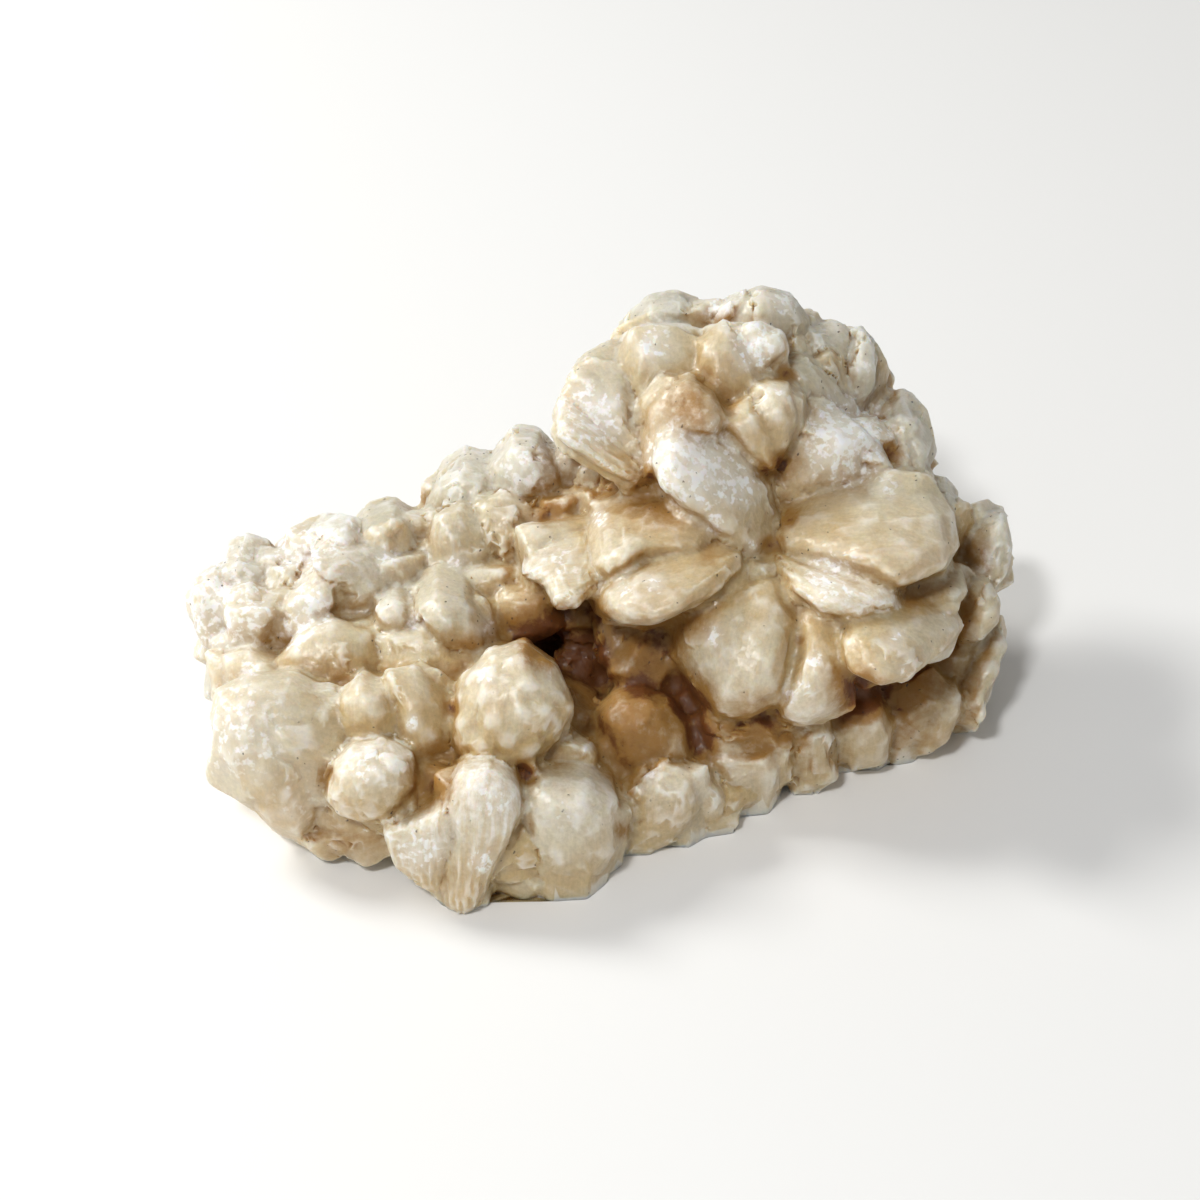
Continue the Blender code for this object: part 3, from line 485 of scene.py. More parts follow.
FRONT_ROW_SHOOTS = (
    Shoot((745, 742, 11), (745, 810, 0), 11.0, 8.0, Habit.BLOCK),
    Shoot((708, 737, 11), (715, 790, 3), 4.5, 4.0, Habit.PEBBLE),
    Shoot((665, 772, 11), (680, 840, 0), 11.0, 8.0, Habit.BLOCK),
    Shoot((712, 795, 6), (710, 840, -1), 8.0, 6.0, Habit.SHARD),
    Shoot((632, 805, 7), (640, 860, -1), 7.0, 6.0, Habit.BLOCK),
    Shoot((635, 695, 15), (655, 780, 5), 10.0, 9.0, Habit.DOME),
    Shoot((668, 705, 13), (670, 780, 4), 6.5, 6.0, Habit.PEBBLE),
    Shoot((612, 715, 13), (640, 770, 6), 6.0, 6.0, Habit.PEBBLE),
    Shoot((565, 790, 13), (565, 890, 0), 12.5, 10.0, Habit.DOME),
    Shoot((610, 800, 11), (600, 870, 0), 6.0, 7.0, Habit.PEBBLE),
    Shoot((530, 864, 5), (545, 895, -1), 10.0, 6.0, Habit.SHARD),
    Shoot((472, 775, 17), (475, 880, 2), 10.0, 8.0, Habit.BLOCK),
    Shoot((515, 808, 12), (480, 880, 2), 4.5, 4.0, Habit.SHARD),
    Shoot((463, 908, 0), (465, 830, 9), 8.0, 7.0, Habit.PETAL),
    Shoot((400, 864, 4), (440, 830, 9), 9.0, 6.0, Habit.SHARD),
    Shoot((430, 890, 2), (456, 840, 8), 7.0, 6.0, Habit.SHARD),
    Shoot((348, 756, 17), (396, 808, 10), 10.5, 9.0, Habit.DOME),
    Shoot((216, 728, 16), (336, 760, 13), 17.5, 14.0, Habit.DOME),
    Shoot((320, 690, 21), (320, 760, 12), 8.0, 8.0, Habit.DOME),
    Shoot((256, 790, 9), (310, 770, 11), 9.0, 7.0, Habit.BLOCK),
    Shoot((262, 815, 6), (320, 810, 8), 7.0, 6.0, Habit.SHARD),
    Shoot((300, 840, 4), (352, 830, 6), 7.0, 6.0, Habit.SHARD),
    Shoot((345, 848, 4), (390, 840, 6), 6.0, 6.0, Habit.SHARD),
)
LEFT_FIELD_SHOOTS = (
    Shoot((512, 650, 24), (515, 760, 12), 12.5, 10.0, Habit.DOME),
    Shoot((565, 700, 18), (520, 730, 15), 8.0, 8.0, Habit.DOME),
    Shoot((478, 675, 22), (505, 730, 15), 6.0, 6.0, Habit.PEBBLE),
    Shoot((460, 728, 17), (490, 760, 13), 6.0, 6.0, Habit.PEBBLE),
    Shoot((358, 682, 20), (380, 750, 13), 8.0, 7.0, Habit.DOME),
    Shoot((415, 668, 21), (430, 760, 11), 8.5, 8.0, Habit.PETAL),
    Shoot((392, 682, 20), (400, 744, 13), 5.0, 5.0, Habit.PEBBLE),
    Shoot((570, 735, 15), (565, 795, 6), 8.0, 7.0, Habit.DOME),
    Shoot((300, 645, 19), (370, 690, 14), 9.0, 6.0, Habit.DOME),
    Shoot((372, 640, 19), (385, 690, 13), 7.0, 6.0, Habit.DOME),
    Shoot((410, 645, 19), (420, 700, 12), 6.0, 6.0, Habit.PEBBLE),
    Shoot((450, 645, 18), (456, 700, 12), 7.0, 6.0, Habit.DOME),
    Shoot((345, 620, 20), (360, 670, 14), 8.0, 6.0, Habit.BLOCK),
    Shoot((405, 602, 22), (410, 660, 15), 7.0, 6.0, Habit.DOME),
    Shoot((456, 598, 22), (470, 670, 13), 9.5, 8.0, Habit.DOME),
    Shoot((490, 625, 19), (490, 680, 12), 5.0, 5.0, Habit.PETAL),
    Shoot((355, 575, 23), (370, 640, 15), 9.0, 7.0, Habit.BLOCK),
    Shoot((296, 590, 23), (330, 650, 15), 8.0, 7.0, Habit.BLOCK),
    Shoot((330, 560, 24), (350, 630, 15), 9.0, 7.0, Habit.BLOCK),
    Shoot((385, 555, 24), (400, 620, 16), 9.0, 7.0, Habit.BLOCK),
    Shoot((420, 580, 22), (416, 640, 15), 6.0, 6.0, Habit.PEBBLE),
    Shoot((205, 585, 21), (232, 655, 11), 7.5, 7.0, Habit.BLOCK),
    Shoot((203, 635, 13), (240, 660, 9), 7.0, 7.0, Habit.BLOCK),
    Shoot((238, 560, 22), (250, 630, 13), 6.5, 6.0, Habit.PEBBLE),
    Shoot((250, 600, 22), (260, 660, 14), 8.5, 7.0, Habit.BLOCK),
    Shoot((228, 625, 18), (250, 670, 11), 7.0, 7.0, Habit.BLOCK),
    Shoot((270, 590, 22), (285, 650, 14), 6.0, 6.0, Habit.PEBBLE),
    Shoot((315, 525, 25), (310, 600, 15), 8.5, 8.0, Habit.BLOCK),
    Shoot((270, 550, 23), (285, 610, 14), 6.5, 6.0, Habit.PEBBLE),
    Shoot((340, 530, 24), (336, 600, 15), 6.0, 6.0, Habit.PEBBLE),
    Shoot((222, 668, 14), (260, 690, 11), 7.0, 7.0, Habit.BLOCK),
    Shoot((245, 672, 17), (275, 700, 13), 7.0, 7.0, Habit.DOME),
)
BACK_RIDGE_SHOOTS = (
    Shoot((372, 515, 25), (390, 590, 15), 8.5, 8.0, Habit.DOME),
    Shoot((405, 512, 25), (410, 590, 16), 7.0, 7.0, Habit.DOME),
    Shoot((456, 515, 25), (456, 600, 16), 8.5, 8.0, Habit.DOME),
    Shoot((435, 540, 24), (450, 600, 16), 6.0, 6.0, Habit.PEBBLE),
    Shoot((475, 540, 24), (480, 600, 16), 6.5, 6.0, Habit.PEBBLE),
    Shoot((462, 466, 28), (465, 540, 17), 9.0, 8.0, Habit.DOME),
    Shoot((440, 478, 26), (450, 540, 17), 6.0, 6.0, Habit.PEBBLE),
    Shoot((525, 438, 31), (525, 530, 18), 9.0, 8.5, Habit.DOME),
    Shoot((570, 446, 30), (570, 530, 19), 6.0, 6.0, Habit.PEBBLE),
    Shoot((597, 458, 30), (595, 530, 20), 6.5, 6.0, Habit.PEBBLE),
    Shoot((503, 496, 27), (510, 580, 17), 8.0, 7.0, Habit.DOME),
    Shoot((535, 505, 27), (535, 580, 18), 6.0, 6.0, Habit.PEBBLE),
    Shoot((562, 492, 28), (565, 560, 20), 7.0, 6.0, Habit.BLOCK),
    Shoot((590, 487, 29), (590, 550, 22), 5.0, 5.0, Habit.PEBBLE),
    Shoot((522, 562, 25), (600, 545, 25), 9.5, 8.0, Habit.BARREL),
    Shoot((507, 568, 22), (500, 630, 14), 6.0, 6.0, Habit.PEBBLE),
    Shoot((480, 572, 22), (480, 640, 13), 7.0, 6.0, Habit.DOME),
    Shoot((535, 630, 16), (525, 580, 20), 9.0, 7.0, Habit.DOME),
    Shoot((585, 632, 16), (580, 580, 20), 7.0, 6.0, Habit.BLOCK),
    Shoot((580, 660, 12), (590, 700, 6), 5.0, 5.0, Habit.PEBBLE),
    Shoot((600, 735, 9), (600, 790, 1), 6.0, 6.0, Habit.PEBBLE),
)


# Lumps of massive stilbite under the crystals: middle and half sizes, in millimetres.
CORE_LUMPS = (
    ((-22.0, -15.0, 7.0), (25.0, 17.0, 9.0)),
    ((-30.0, -3.0, 8.5), (16.0, 9.0, 9.5)),
    ((-10.0, 7.0, 10.5), (17.0, 7.5, 12.0)),
    ((22.0, 1.0, 9.0), (23.0, 13.0, 10.5)),
    ((13.0, 12.0, 18.0), (17.0, 8.5, 21.0)),
    ((29.0, 8.0, 14.0), (14.0, 8.0, 16.0)),
    ((22.0, -2.0, 17.0), (13.0, 10.0, 11.0)),
    ((18.0, 14.0, 30.0), (12.0, 6.0, 9.0)),
    ((-12.0, -26.0, 5.0), (12.0, 10.0, 7.0)),
    ((4.0, -13.0, 3.5), (20.0, 14.0, 6.0)),
)

# Places along the far foot (x, y) with the height that the crystals there reach, in millimetres.
FAR_FOOT = (
    (-46.0, -9.0, 10.0),
    (-43.0, 0.0, 16.0),
    (-33.0, 5.0, 18.0),
    (-21.0, 11.0, 19.0),
    (-8.0, 17.0, 23.0),
    (5.0, 22.0, 32.0),
    (18.0, 24.0, 36.0),
    (31.0, 19.0, 30.0),
    (41.0, 11.0, 20.0),
    (45.0, 1.0, 12.0),
)

# Painted shade: skins that turn away from this direction, which lies near the lamps', are painted more
# honey-coloured.
LIGHT_FOR_PAINTED_SHADE = (-0.42, -0.10, 0.90)


@dataclass(frozen=True)
class Spots:
    """Soft round places of one look, laid out on the picture.

    Attributes:
        name: Of the look.
        places: Each as (across, down, radius, strength), in picture units.
        fall: How fast the look fades across a place's radius.
        turned: Slope and start, over how far a skin faces the eye, of the look's strength.
    """

    name: str
    places: tuple[tuple[float, float, float, float], ...]
    fall: float = 0.9
    turned: tuple[float, float] = (3.0, 0.6)

    def strength_at(self, seen: np.ndarray, facing: np.ndarray) -> np.ndarray:
        """Finds how strong the look is at places on the stone.

        Args:
            seen: Where each place is seen on the picture, in a row.
            facing: How far each place faces the eye, from -1 to 1.

        Returns:
            A strength from 0 to 1 for each place.
        """
        total = np.zeros(len(seen))
        for across, down, radius, strength in self.places:
            away = ((seen[:, 0] - across) ** 2 + (seen[:, 1] - down) ** 2) / radius**2
            total = np.maximum(total, strength * np.exp(-away * self.fall))
        return total * np.clip(facing * self.turned[0] + self.turned[1], 0, 1)


# Placed spots of real white frost and of painted highlight; the wide ones on the left paint the brighter
# light there.
FROST_AND_HIGHLIGHTS = Spots("frost_and_highlight", (
    (692, 465, 50, 1.0), (735, 482, 26, 0.9), (700, 500, 16, 0.6), (715, 522, 12, 0.9),
    (752, 545, 8, 0.7), (850, 440, 46, 1.0), (872, 447, 13, 0.9), (845, 474, 18, 0.8),
    (886, 488, 15, 0.6), (625, 590, 10, 0.7), (655, 585, 11, 0.8), (600, 518, 9, 0.9),
    (712, 636, 13, 0.7), (816, 660, 9, 0.8), (805, 685, 9, 0.7), (790, 696, 9, 0.7),
    (897, 636, 10, 0.7), (905, 668, 10, 0.6), (946, 616, 8, 0.5), (655, 342, 18, 0.9),
    (785, 303, 14, 0.9), (755, 345, 24, 1.0), (780, 393, 7, 0.8), (485, 675, 15, 0.6),
    (413, 723, 8, 0.7), (368, 764, 24, 0.65), (420, 852, 24, 0.9), (492, 800, 18, 0.9),
    (482, 860, 15, 0.8), (560, 812, 26, 0.5), (310, 608, 24, 1.0), (290, 636, 16, 0.9),
    (386, 557, 14, 0.8), (300, 552, 28, 1.0), (335, 540, 14, 0.9), (212, 590, 20, 0.6),
    (250, 620, 12, 0.7), (560, 560, 30, 0.5), (832, 580, 30, 0.85), (592, 415, 34, 0.95),
    (456, 563, 10, 0.8), (486, 627, 10, 0.9), (416, 622, 10, 0.8), (245, 700, 26, 0.35),
    (720, 310, 16, 0.9), (865, 365, 14, 0.5), (215, 600, 70, 0.75), (235, 730, 70, 0.55),
    (300, 800, 60, 0.35), (380, 560, 50, 0.35), (528, 470, 34, 0.7), (240, 560, 40, 0.5),
    (985, 560, 14, 0.7), (650, 772, 8, 0.8), (640, 717, 8, 0.5), (250, 668, 16, 0.6),
))
# Placed spots of real stain in the pocket and of painted shade, deepening the pocket and the darker
# lower right.
STAINS_AND_SHADE = Spots("stain", (
    (690, 405, 38, 0.60), (655, 600, 44, 0.32), (890, 540, 50, 0.27), (640, 520, 30, 0.26),
    (545, 641, 32, 1.0), (590, 656, 26, 1.0), (640, 688, 20, 1.0), (690, 702, 28, 1.0),
    (702, 735, 22, 0.95), (860, 695, 30, 0.95), (755, 727, 40, 0.6), (645, 725, 44, 0.76),
    (621, 830, 9, 0.8), (786, 373, 9, 0.85), (778, 462, 11, 0.8), (325, 775, 12, 0.6),
    (452, 708, 7, 0.9), (526, 772, 9, 1.0), (440, 788, 22, 0.55), (650, 650, 34, 0.5),
    (545, 510, 18, 0.5), (600, 616, 16, 0.6), (770, 545, 9, 0.6), (765, 470, 9, 0.6),
    (800, 640, 5, 0.7), (925, 722, 60, 0.42), (815, 760, 26, 0.4), (345, 846, 30, 0.45),
    (790, 520, 8, 0.6), (650, 473, 8, 0.6), (710, 560, 14, 0.4), (560, 625, 16, 0.6),
    (890, 450, 12, 0.6), (450, 880, 20, 0.35),
))


def deselect_all() -> None:
    """Leaves nothing selected, so that the next operator acts on its own piece only."""
    if bpy.context.object and bpy.context.object.mode != "OBJECT":
        bpy.ops.object.mode_set(mode="OBJECT")
    bpy.ops.object.select_all(action="DESELECT")


def select_only(piece: bpy.types.Object) -> None:
    """Makes a piece the only selected and active one."""
    deselect_all()
    piece.select_set(True)
    bpy.context.view_layer.objects.active = piece


def bisect_all(point: Vector, normal: Vector) -> None:
    """Cuts the piece in edit mode along a plane and closes the cut.

    Args:
        point: On the plane.
        normal: Towards the side that is cut away.
    """
    bpy.ops.mesh.select_all(action="SELECT")
    bpy.ops.mesh.bisect(plane_co=point, plane_no=normal, use_fill=True, clear_outer=True)


def apply_modifier(piece: bpy.types.Object, kind: str, **settings: object) -> None:
    """Adds a modifier to a piece and applies it.

    Args:
        piece: What the modifier works on.
        kind: Blender's name of the modifier's type.
        **settings: The modifier's own settings.
    """
    select_only(piece)
    modifier = piece.modifiers.new(kind.title(), kind)
    for name, value in settings.items():
        setattr(modifier, name, value)
    bpy.ops.object.modifier_apply(modifier=modifier.name)


@dataclass
class Growth:
    """Where a crystal stands and what it looks like.

    Attributes:
        root: Its inner end.
        frame: Its own directions in rows: across, out of its face, and along.
        length: From root to tip, in metres.
        skin: What its outside looks like.
        clear: How see-through grey-green it is, from 0 to 1.
        honey: How warm its colour is, from 0 to 1.
        frost: How white its outer end is, from 0 to 1.
    """

    root: Vector
    frame: Matrix
    length: float
    skin: Skin
    clear: float
    honey: float
    frost: float


@dataclass
class Kit:
    """Small crystal shapes one unit long, each modelled once and then copied.

    Attributes:
        variants: How many shapes there are of each habit.
        forms: For each habit, the root's share of the width, the belly's share of the length,
            the rings of tip facets as (degrees from the tip, count), and the sides.
        stray: How far a facet's lean strays, in degrees.
        drift: How far a facet strays round the tip, as a share of its ring's step.
        reaches: Where facets cut, as shares of the whole shape's reach.
        seed: Of the facets' irregularity.
        shapes: The shapes made, by habit and number.
    """

    variants: int = 4
    forms: dict = field(
        default_factory=lambda: {
            Habit.PETAL: (0.48, 0.60, ((20, 2), (48, 4), (74, 5)), 7),
            Habit.BLOCK: (0.80, 0.70, ((8, 1), (48, 4), (76, 4)), 6),
            Habit.DOME: (0.82, 0.48, ((6, 1), (38, 5), (66, 6)), 7),
            Habit.PEBBLE: (0.84, 0.50, ((12, 1), (52, 5)), 6),
            Habit.BARREL: (0.86, 0.84, ((10, 1), (60, 5)), 8),
            Habit.SHARD: (0.75, 0.40, ((30, 2), (62, 4)), 5),
        }
    )
    stray: float = 7.0
    drift: float = 0.25
    reaches: tuple[float, float] = (0.88, 1.0)
    seed: int = 7
    shapes: dict = field(default_factory=dict)

    def model(self) -> None:
        """Models every shape of every habit."""
        for habit in self.forms:
            for variant in range(self.variants):
                chance = random.Random(f"{self.seed} {habit.value} {variant}")
                self.shapes[habit, variant] = self.cut_shape(habit, chance)

    def cut_shape(self, habit: Habit, chance: random.Random) -> bpy.types.Object:
        """Tapers a prism and cuts its tip to facets.

        Args:
            habit: Which form it takes.
            chance: Where its irregularity comes from.

        Returns:
            The shape, with its root at the origin and its tip one unit up.
        """
        root, belly, rings, sides = self.forms[habit]
        deselect_all()
        widest = root + (1 - root) / belly
        bpy.ops.mesh.primitive_cone_add(
            vertices=sides, radius1=root, radius2=widest, depth=1, location=(0, 0, 0.5)
        )
        shape = bpy.context.object
        bpy.ops.object.transform_apply()
        bpy.ops.object.mode_set(mode="EDIT")
        middle = Vector((0, 0, belly))
        half = Vector((1, 1, 1 - belly))
        for polar, count in rings:
            start = chance.uniform(0, math.tau)
            for step in range(count):
                lean = math.radians(polar + chance.uniform(-self.stray, self.stray))
                turn = start + math.tau * (step + chance.uniform(-self.drift, self.drift)) / count
                across = Vector((math.cos(turn), math.sin(turn), 0)) * math.sin(lean)
                normal = across + Vector((0, 0, math.cos(lean)))
                reach = Vector(n * h for n, h in zip(normal, half)).length
                bisect_all(middle + normal * reach * chance.uniform(*self.reaches), normal)
        bpy.ops.object.mode_set(mode="OBJECT")
        return shape

    def copy(self, habit: Habit, variant: int) -> bpy.types.Object:
        """A shape's copy, with its own mesh."""
        model = self.shapes[habit, variant % self.variants]
        made = model.copy()
        made.data = model.data.copy()
        bpy.context.scene.collection.objects.link(made)
        return made

    def put_away(self) -> None:
        """Removes the shapes that were only copied from."""
        for shape in self.shapes.values():
            bpy.data.objects.remove(shape)


@dataclass
class Zone:
    """A part of the specimen, with its whole stones and its smaller shoots.

    Attributes:
        name: Of the zone.
        stones: The crystals drawn round their outlines.
        shoots: The smaller or half hidden crystals.
        relief: How far the stones stand out of the mass, as a share of their bulge.
        set_back: How far the shoots stand back from the eye, in millimetres.
        seed: Of the irregularity.
        past: How far heights may run on past tip and root, as a share of their distance.
        rim: How wide a stone is at its rim, as a share of its outline.
        tiers: The shares of the bulge and of the outline, from the rim of a stone to its top.
        facets: How many broad facets a stone may have.
        leans: How far facets lean from a stone's face, in degrees.
        drift: How far a facet strays round the stone, as a share of its step.
        reaches: Where facets cut, as shares of the whole stone's reach.
        shoot_looks: Least and most of how clear, how warm and how frosted shoots are.
    """

    name: str
    stones: tuple[Stone, ...]
    shoots: tuple[Shoot, ...]
    relief: float = 1.12
    set_back: float = 2.2
    seed: int = 3
    past: float = 0.1
    rim: float = 1.07
    tiers: tuple[tuple[float, float], ...] = (
        (0.24, 1.00), (0.40, 0.97), (0.55, 0.91), (0.68, 0.82), (0.79, 0.70), (0.88, 0.56),
        (0.94, 0.41), (0.98, 0.25), (1.0, 0.10),
    )
    facets: tuple[int, ...] = (6, 7, 8)
    leans: tuple[float, float] = (26.0, 52.0)
    drift: float = 0.3
    reaches: tuple[float, float] = (0.92, 1.0)
    shoot_looks: tuple[tuple[float, float], ...] = ((0.05, 0.35), (0.3, 0.7), (0.1, 0.5))

    def grow(self, kit: Kit, grown: list) -> None:
        """Grows every crystal of the zone.

        Args:
            kit: The shapes that shoots are copied from.
            grown: Collects (piece, growth) for each crystal.
        """
        for number, stone in enumerate(self.stones):
            chance = random.Random(f"{self.seed} {self.name} stone {number}")
            grown.append(self.carve_stone(stone, chance))
        for number, shoot in enumerate(self.shoots):
            chance = random.Random(f"{self.seed} {self.name} shoot {number}")
            grown.append(self.place_shoot(shoot, kit, chance))
        log.info("%s: %d stones, %d shoots", self.name, len(self.stones), len(self.shoots))

    def carve_stone(self, stone: Stone, chance: random.Random) -> tuple[bpy.types.Object, Growth]:
        """Raises a crystal from its outline and cuts its front to broad facets.

        Args:
            stone: What is carved.
            chance: Where its irregularity comes from.

        Returns:
            The piece and its growth.
        """
        tip, root = SIGHT.place(*stone.tip), SIGHT.place(*stone.root)
        start, end = Vector(stone.root[:2]), Vector(stone.tip[:2])
        run = end - start
        corners = []
        for across, down in stone.outline:
            share = (Vector((across, down)) - start).dot(run) / run.length_squared
            share = min(1 + self.past, max(-self.past, share))
            height = stone.root[2] + (stone.tip[2] - stone.root[2]) * share
            corners.append(SIGHT.place(across, down, height))
        middle = sum(corners, Vector()) / len(corners)
        back = SIGHT.back
        along = (tip - root).normalized()
        face = (back - along * back.dot(along)).normalized()

        deselect_all()
        bpy.ops.mesh.primitive_cylinder_add(
            vertices=len(corners), radius=MM, depth=MM, end_fill_type="NGON"
        )
        piece = bpy.context.object
        lower = middle - face * stone.depth * MM
        rings = [[], []]
        for vertex in piece.data.vertices:
            rings[int(vertex.co.z > 0)].append(vertex)
        for ring in rings:
            ring.sort(key=lambda vertex: math.atan2(vertex.co.y, vertex.co.x))
        for corner, low, high in zip(corners, *rings):
            high.co = middle + (corner - middle) * self.rim
            low.co = lower + (corner - middle)
        for polygon in piece.data.polygons:
            polygon.select = all(index in {v.index for v in rings[1]} for index in polygon.vertices)
        bpy.ops.object.mode_set(mode="EDIT")
        bpy.ops.mesh.select_mode(type="FACE")
        reached, width = 0.0, self.rim
        bulge = stone.bulge * self.relief
        for rise, spread in self.tiers:
            step = face * bulge * (rise - reached) * MM
            bpy.ops.mesh.extrude_region_move(TRANSFORM_OT_translate={"value": step})
            centre = middle + face * bulge * rise * MM
            share = spread / width
            bpy.ops.transform.resize(value=(share, share, share), center_override=centre)
            reached, width = rise, spread
        bpy.ops.mesh.select_all(action="SELECT")
        bpy.ops.mesh.normals_make_consistent(inside=False)
        self.cut_front(piece, middle, face, along, chance)
        bpy.ops.object.mode_set(mode="OBJECT")

        frame = Matrix((face.cross(along), face, along))
        length = (tip - root).length
        return piece, Growth(root, frame, length, stone.skin, stone.clear, stone.honey, stone.frost)

    def cut_front(
        self,
        piece: bpy.types.Object,
        middle: Vector,
        face: Vector,
        along: Vector,
        chance: random.Random,
    ) -> None:
        """Cuts broad, flat facets across the front of a stone that is in edit mode.

        Args:
            piece: The stone.
            middle: Of its outline.
            face: The direction that its front faces.
            along: From its root to its tip.
            chance: Where the facets' irregularity comes from.
        """
        side = face.cross(along)
        piece.update_from_editmode()
        places = [vertex.co.copy() for vertex in piece.data.vertices]
        count = chance.choice(self.facets)
        start = chance.uniform(0, math.tau)
        for step in range(count):
            turn = start + math.tau * (step + chance.uniform(-self.drift, self.drift)) / count
            lean = math.radians(chance.uniform(*self.leans))
            outward = side * math.cos(turn) + along * math.sin(turn)
            normal = face * math.cos(lean) + outward * math.sin(lean)
            reach = max((place - middle).dot(normal) for place in places)
            bisect_all(middle + normal * reach * chance.uniform(*self.reaches), normal)

    def place_shoot(
        self, shoot: Shoot, kit: Kit, chance: random.Random
    ) -> tuple[bpy.types.Object, Growth]:
        """Args:
            shoot: Where it stands and how large it is.
            kit: The shapes.
            chance: Where its irregularity comes from.

        Returns:
            The piece and its growth.
        """
        away = SIGHT.back * self.set_back * MM
        tip, root = SIGHT.place(*shoot.tip) - away, SIGHT.place(*shoot.root) - away
        growth = Growth(
            root,
            Matrix.Identity(3),
            (tip - root).length,
            chance.choice((Skin.WAXY, Skin.WAXY, Skin.FROSTED, Skin.PEARLY)),
            *(chance.uniform(*ends) for ends in self.shoot_looks),
        )
        size = (shoot.width / 2 * MM, shoot.thickness / 2 * MM, growth.length)
        piece = stand_shape(kit, shoot.habit, growth, tip, size, SIGHT.back, chance)
        return piece, growth


def stand_shape(
    kit: Kit,
    habit: Habit,
    growth: Growth,
    tip: Vector,
    size: tuple[float, float, float],
    facing: Vector,
    chance: random.Random,
) -> bpy.types.Object:
    """Stands a copy of a kit shape on its root, and notes its directions.

    Args:
        kit: The shapes.
        habit: Which kind of shape.
        growth: What is noted; its root is read.
        tip: Where it points.
        size: Half width, half thickness and length, in metres.
        facing: Where its broad face looks.
        chance: Picks the shape and its turn.

    Returns:
        The piece, with its place in its mesh.
    """
    along = (tip - growth.root).normalized()
    face = (facing - along * facing.dot(along)).normalized()
    side = face.cross(along)
    growth.frame = Matrix((side, face, along))
    piece = kit.copy(habit, chance.randrange(kit.variants))
    turn = Matrix.Rotation(chance.uniform(0, math.tau), 4, "Z")
    place = Matrix.Translation(growth.root) @ growth.frame.transposed().to_4x4()
    piece.data.transform(place @ Matrix.Diagonal((*size, 1)) @ turn)
    return piece


@dataclass
class FarSide:
    """The side away from the photo: rows of crystals in the sizes of those in view.

    Attributes:
        foot: Places along the foot, with the height that the crystals reach.
        rows: Each row's share of the height and how far it points up, in degrees.
        spacing: Between crystals along a row, in millimetres.
        lengths: Least and most length of a crystal, in millimetres.
        shortening: How much shorter a crystal is at the top, in millimetres.
        widths: Least and most width, in millimetres.
        flatness: Least and most thickness, as shares of the width.
        inset: How far behind the foot line the roots lie, in millimetres.
        stray: How far a crystal's lift strays, in degrees.
        sway: How far it leans along the row, as rise over run.
        looks: Least and most of how clear, how warm and how frosted crystals are.
        seed: Of the irregularity.
    """

    foot: tuple[tuple[float, float, float], ...] = FAR_FOOT
    rows: tuple[tuple[float, float], ...] = ((0.12, 2), (0.32, 10), (0.54, 22), (0.76, 36), (0.97, 54))
    spacing: float = 6.5
    lengths: tuple[float, float] = (8.5, 11.5)
    shortening: float = 2.0
    widths: tuple[float, float] = (5.5, 9.5)
    flatness: tuple[float, float] = (0.7, 0.95)
    inset: float = 5.0
    stray: float = 14.0
    sway: float = 0.4
    looks: tuple[tuple[float, float], ...] = ((0.0, 0.6), (0.2, 0.8), (0.0, 0.7))
    seed: int = 5

    def grow(self, kit: Kit, grown: list) -> None:
        """Grows the rows.

        Args:
            kit: The shapes that crystals are copied from.
            grown: Collects (piece, growth) for each crystal.
        """
        chance = random.Random(self.seed)
        before = len(grown)
        for start, end in zip(self.foot, self.foot[1:]):
            first, last = Vector(start) * MM, Vector(end) * MM
            run = (last - first).to_2d()
            outward = Vector((-run.y, run.x, 0)).normalized()
            count = max(1, round(run.length / (self.spacing * MM)))
            for step in range(count):
                for share, lift in self.rows:
                    point = first.lerp(last, (step + chance.uniform(0.2, 0.8)) / count)
                    grown.append(self.stand_out(point, outward, share, lift, kit, chance))
        log.info("far side: %d crystals", len(grown) - before)

    def stand_out(
        self,
        point: Vector,
        outward: Vector,
        share: float,
        lift: float,
        kit: Kit,
        chance: random.Random,
    ) -> tuple[bpy.types.Object, Growth]:
        """Lets one crystal stand out from the far side.

        Args:
            point: At the foot, with the height reached as its z.
            outward: Away from the specimen, level.
            share: Of the height, at which it stands.
            lift: How far it points up, in degrees.
            kit: The shapes.
            chance: Where its irregularity comes from.

        Returns:
            The piece and its growth.
        """
        edge = outward.cross(Vector((0, 0, 1)))
        lean = math.radians(lift + chance.uniform(-self.stray, self.stray))
        direction = outward * math.cos(lean) + edge * chance.uniform(-self.sway, self.sway)
        direction = (direction + Vector((0, 0, math.sin(lean)))).normalized()
        root = Vector((point.x, point.y, point.z * share)) - outward * self.inset * MM
        length = (chance.uniform(*self.lengths) - self.shortening * share) * MM
        width = chance.uniform(*self.widths) * MM
        growth = Growth(
            root,
            Matrix.Identity(3),
            length,
            chance.choice(tuple(Skin)),
            *(chance.uniform(*ends) for ends in self.looks),
        )
        habit = chance.choice((Habit.DOME, Habit.DOME, Habit.BLOCK, Habit.PETAL))
        size = (width / 2, width / 2 * chance.uniform(*self.flatness), length)
        facing = outward + Vector((0, 0, 0.5))
        tip = root + direction * length
        return stand_shape(kit, habit, growth, tip, size, facing, chance), growth


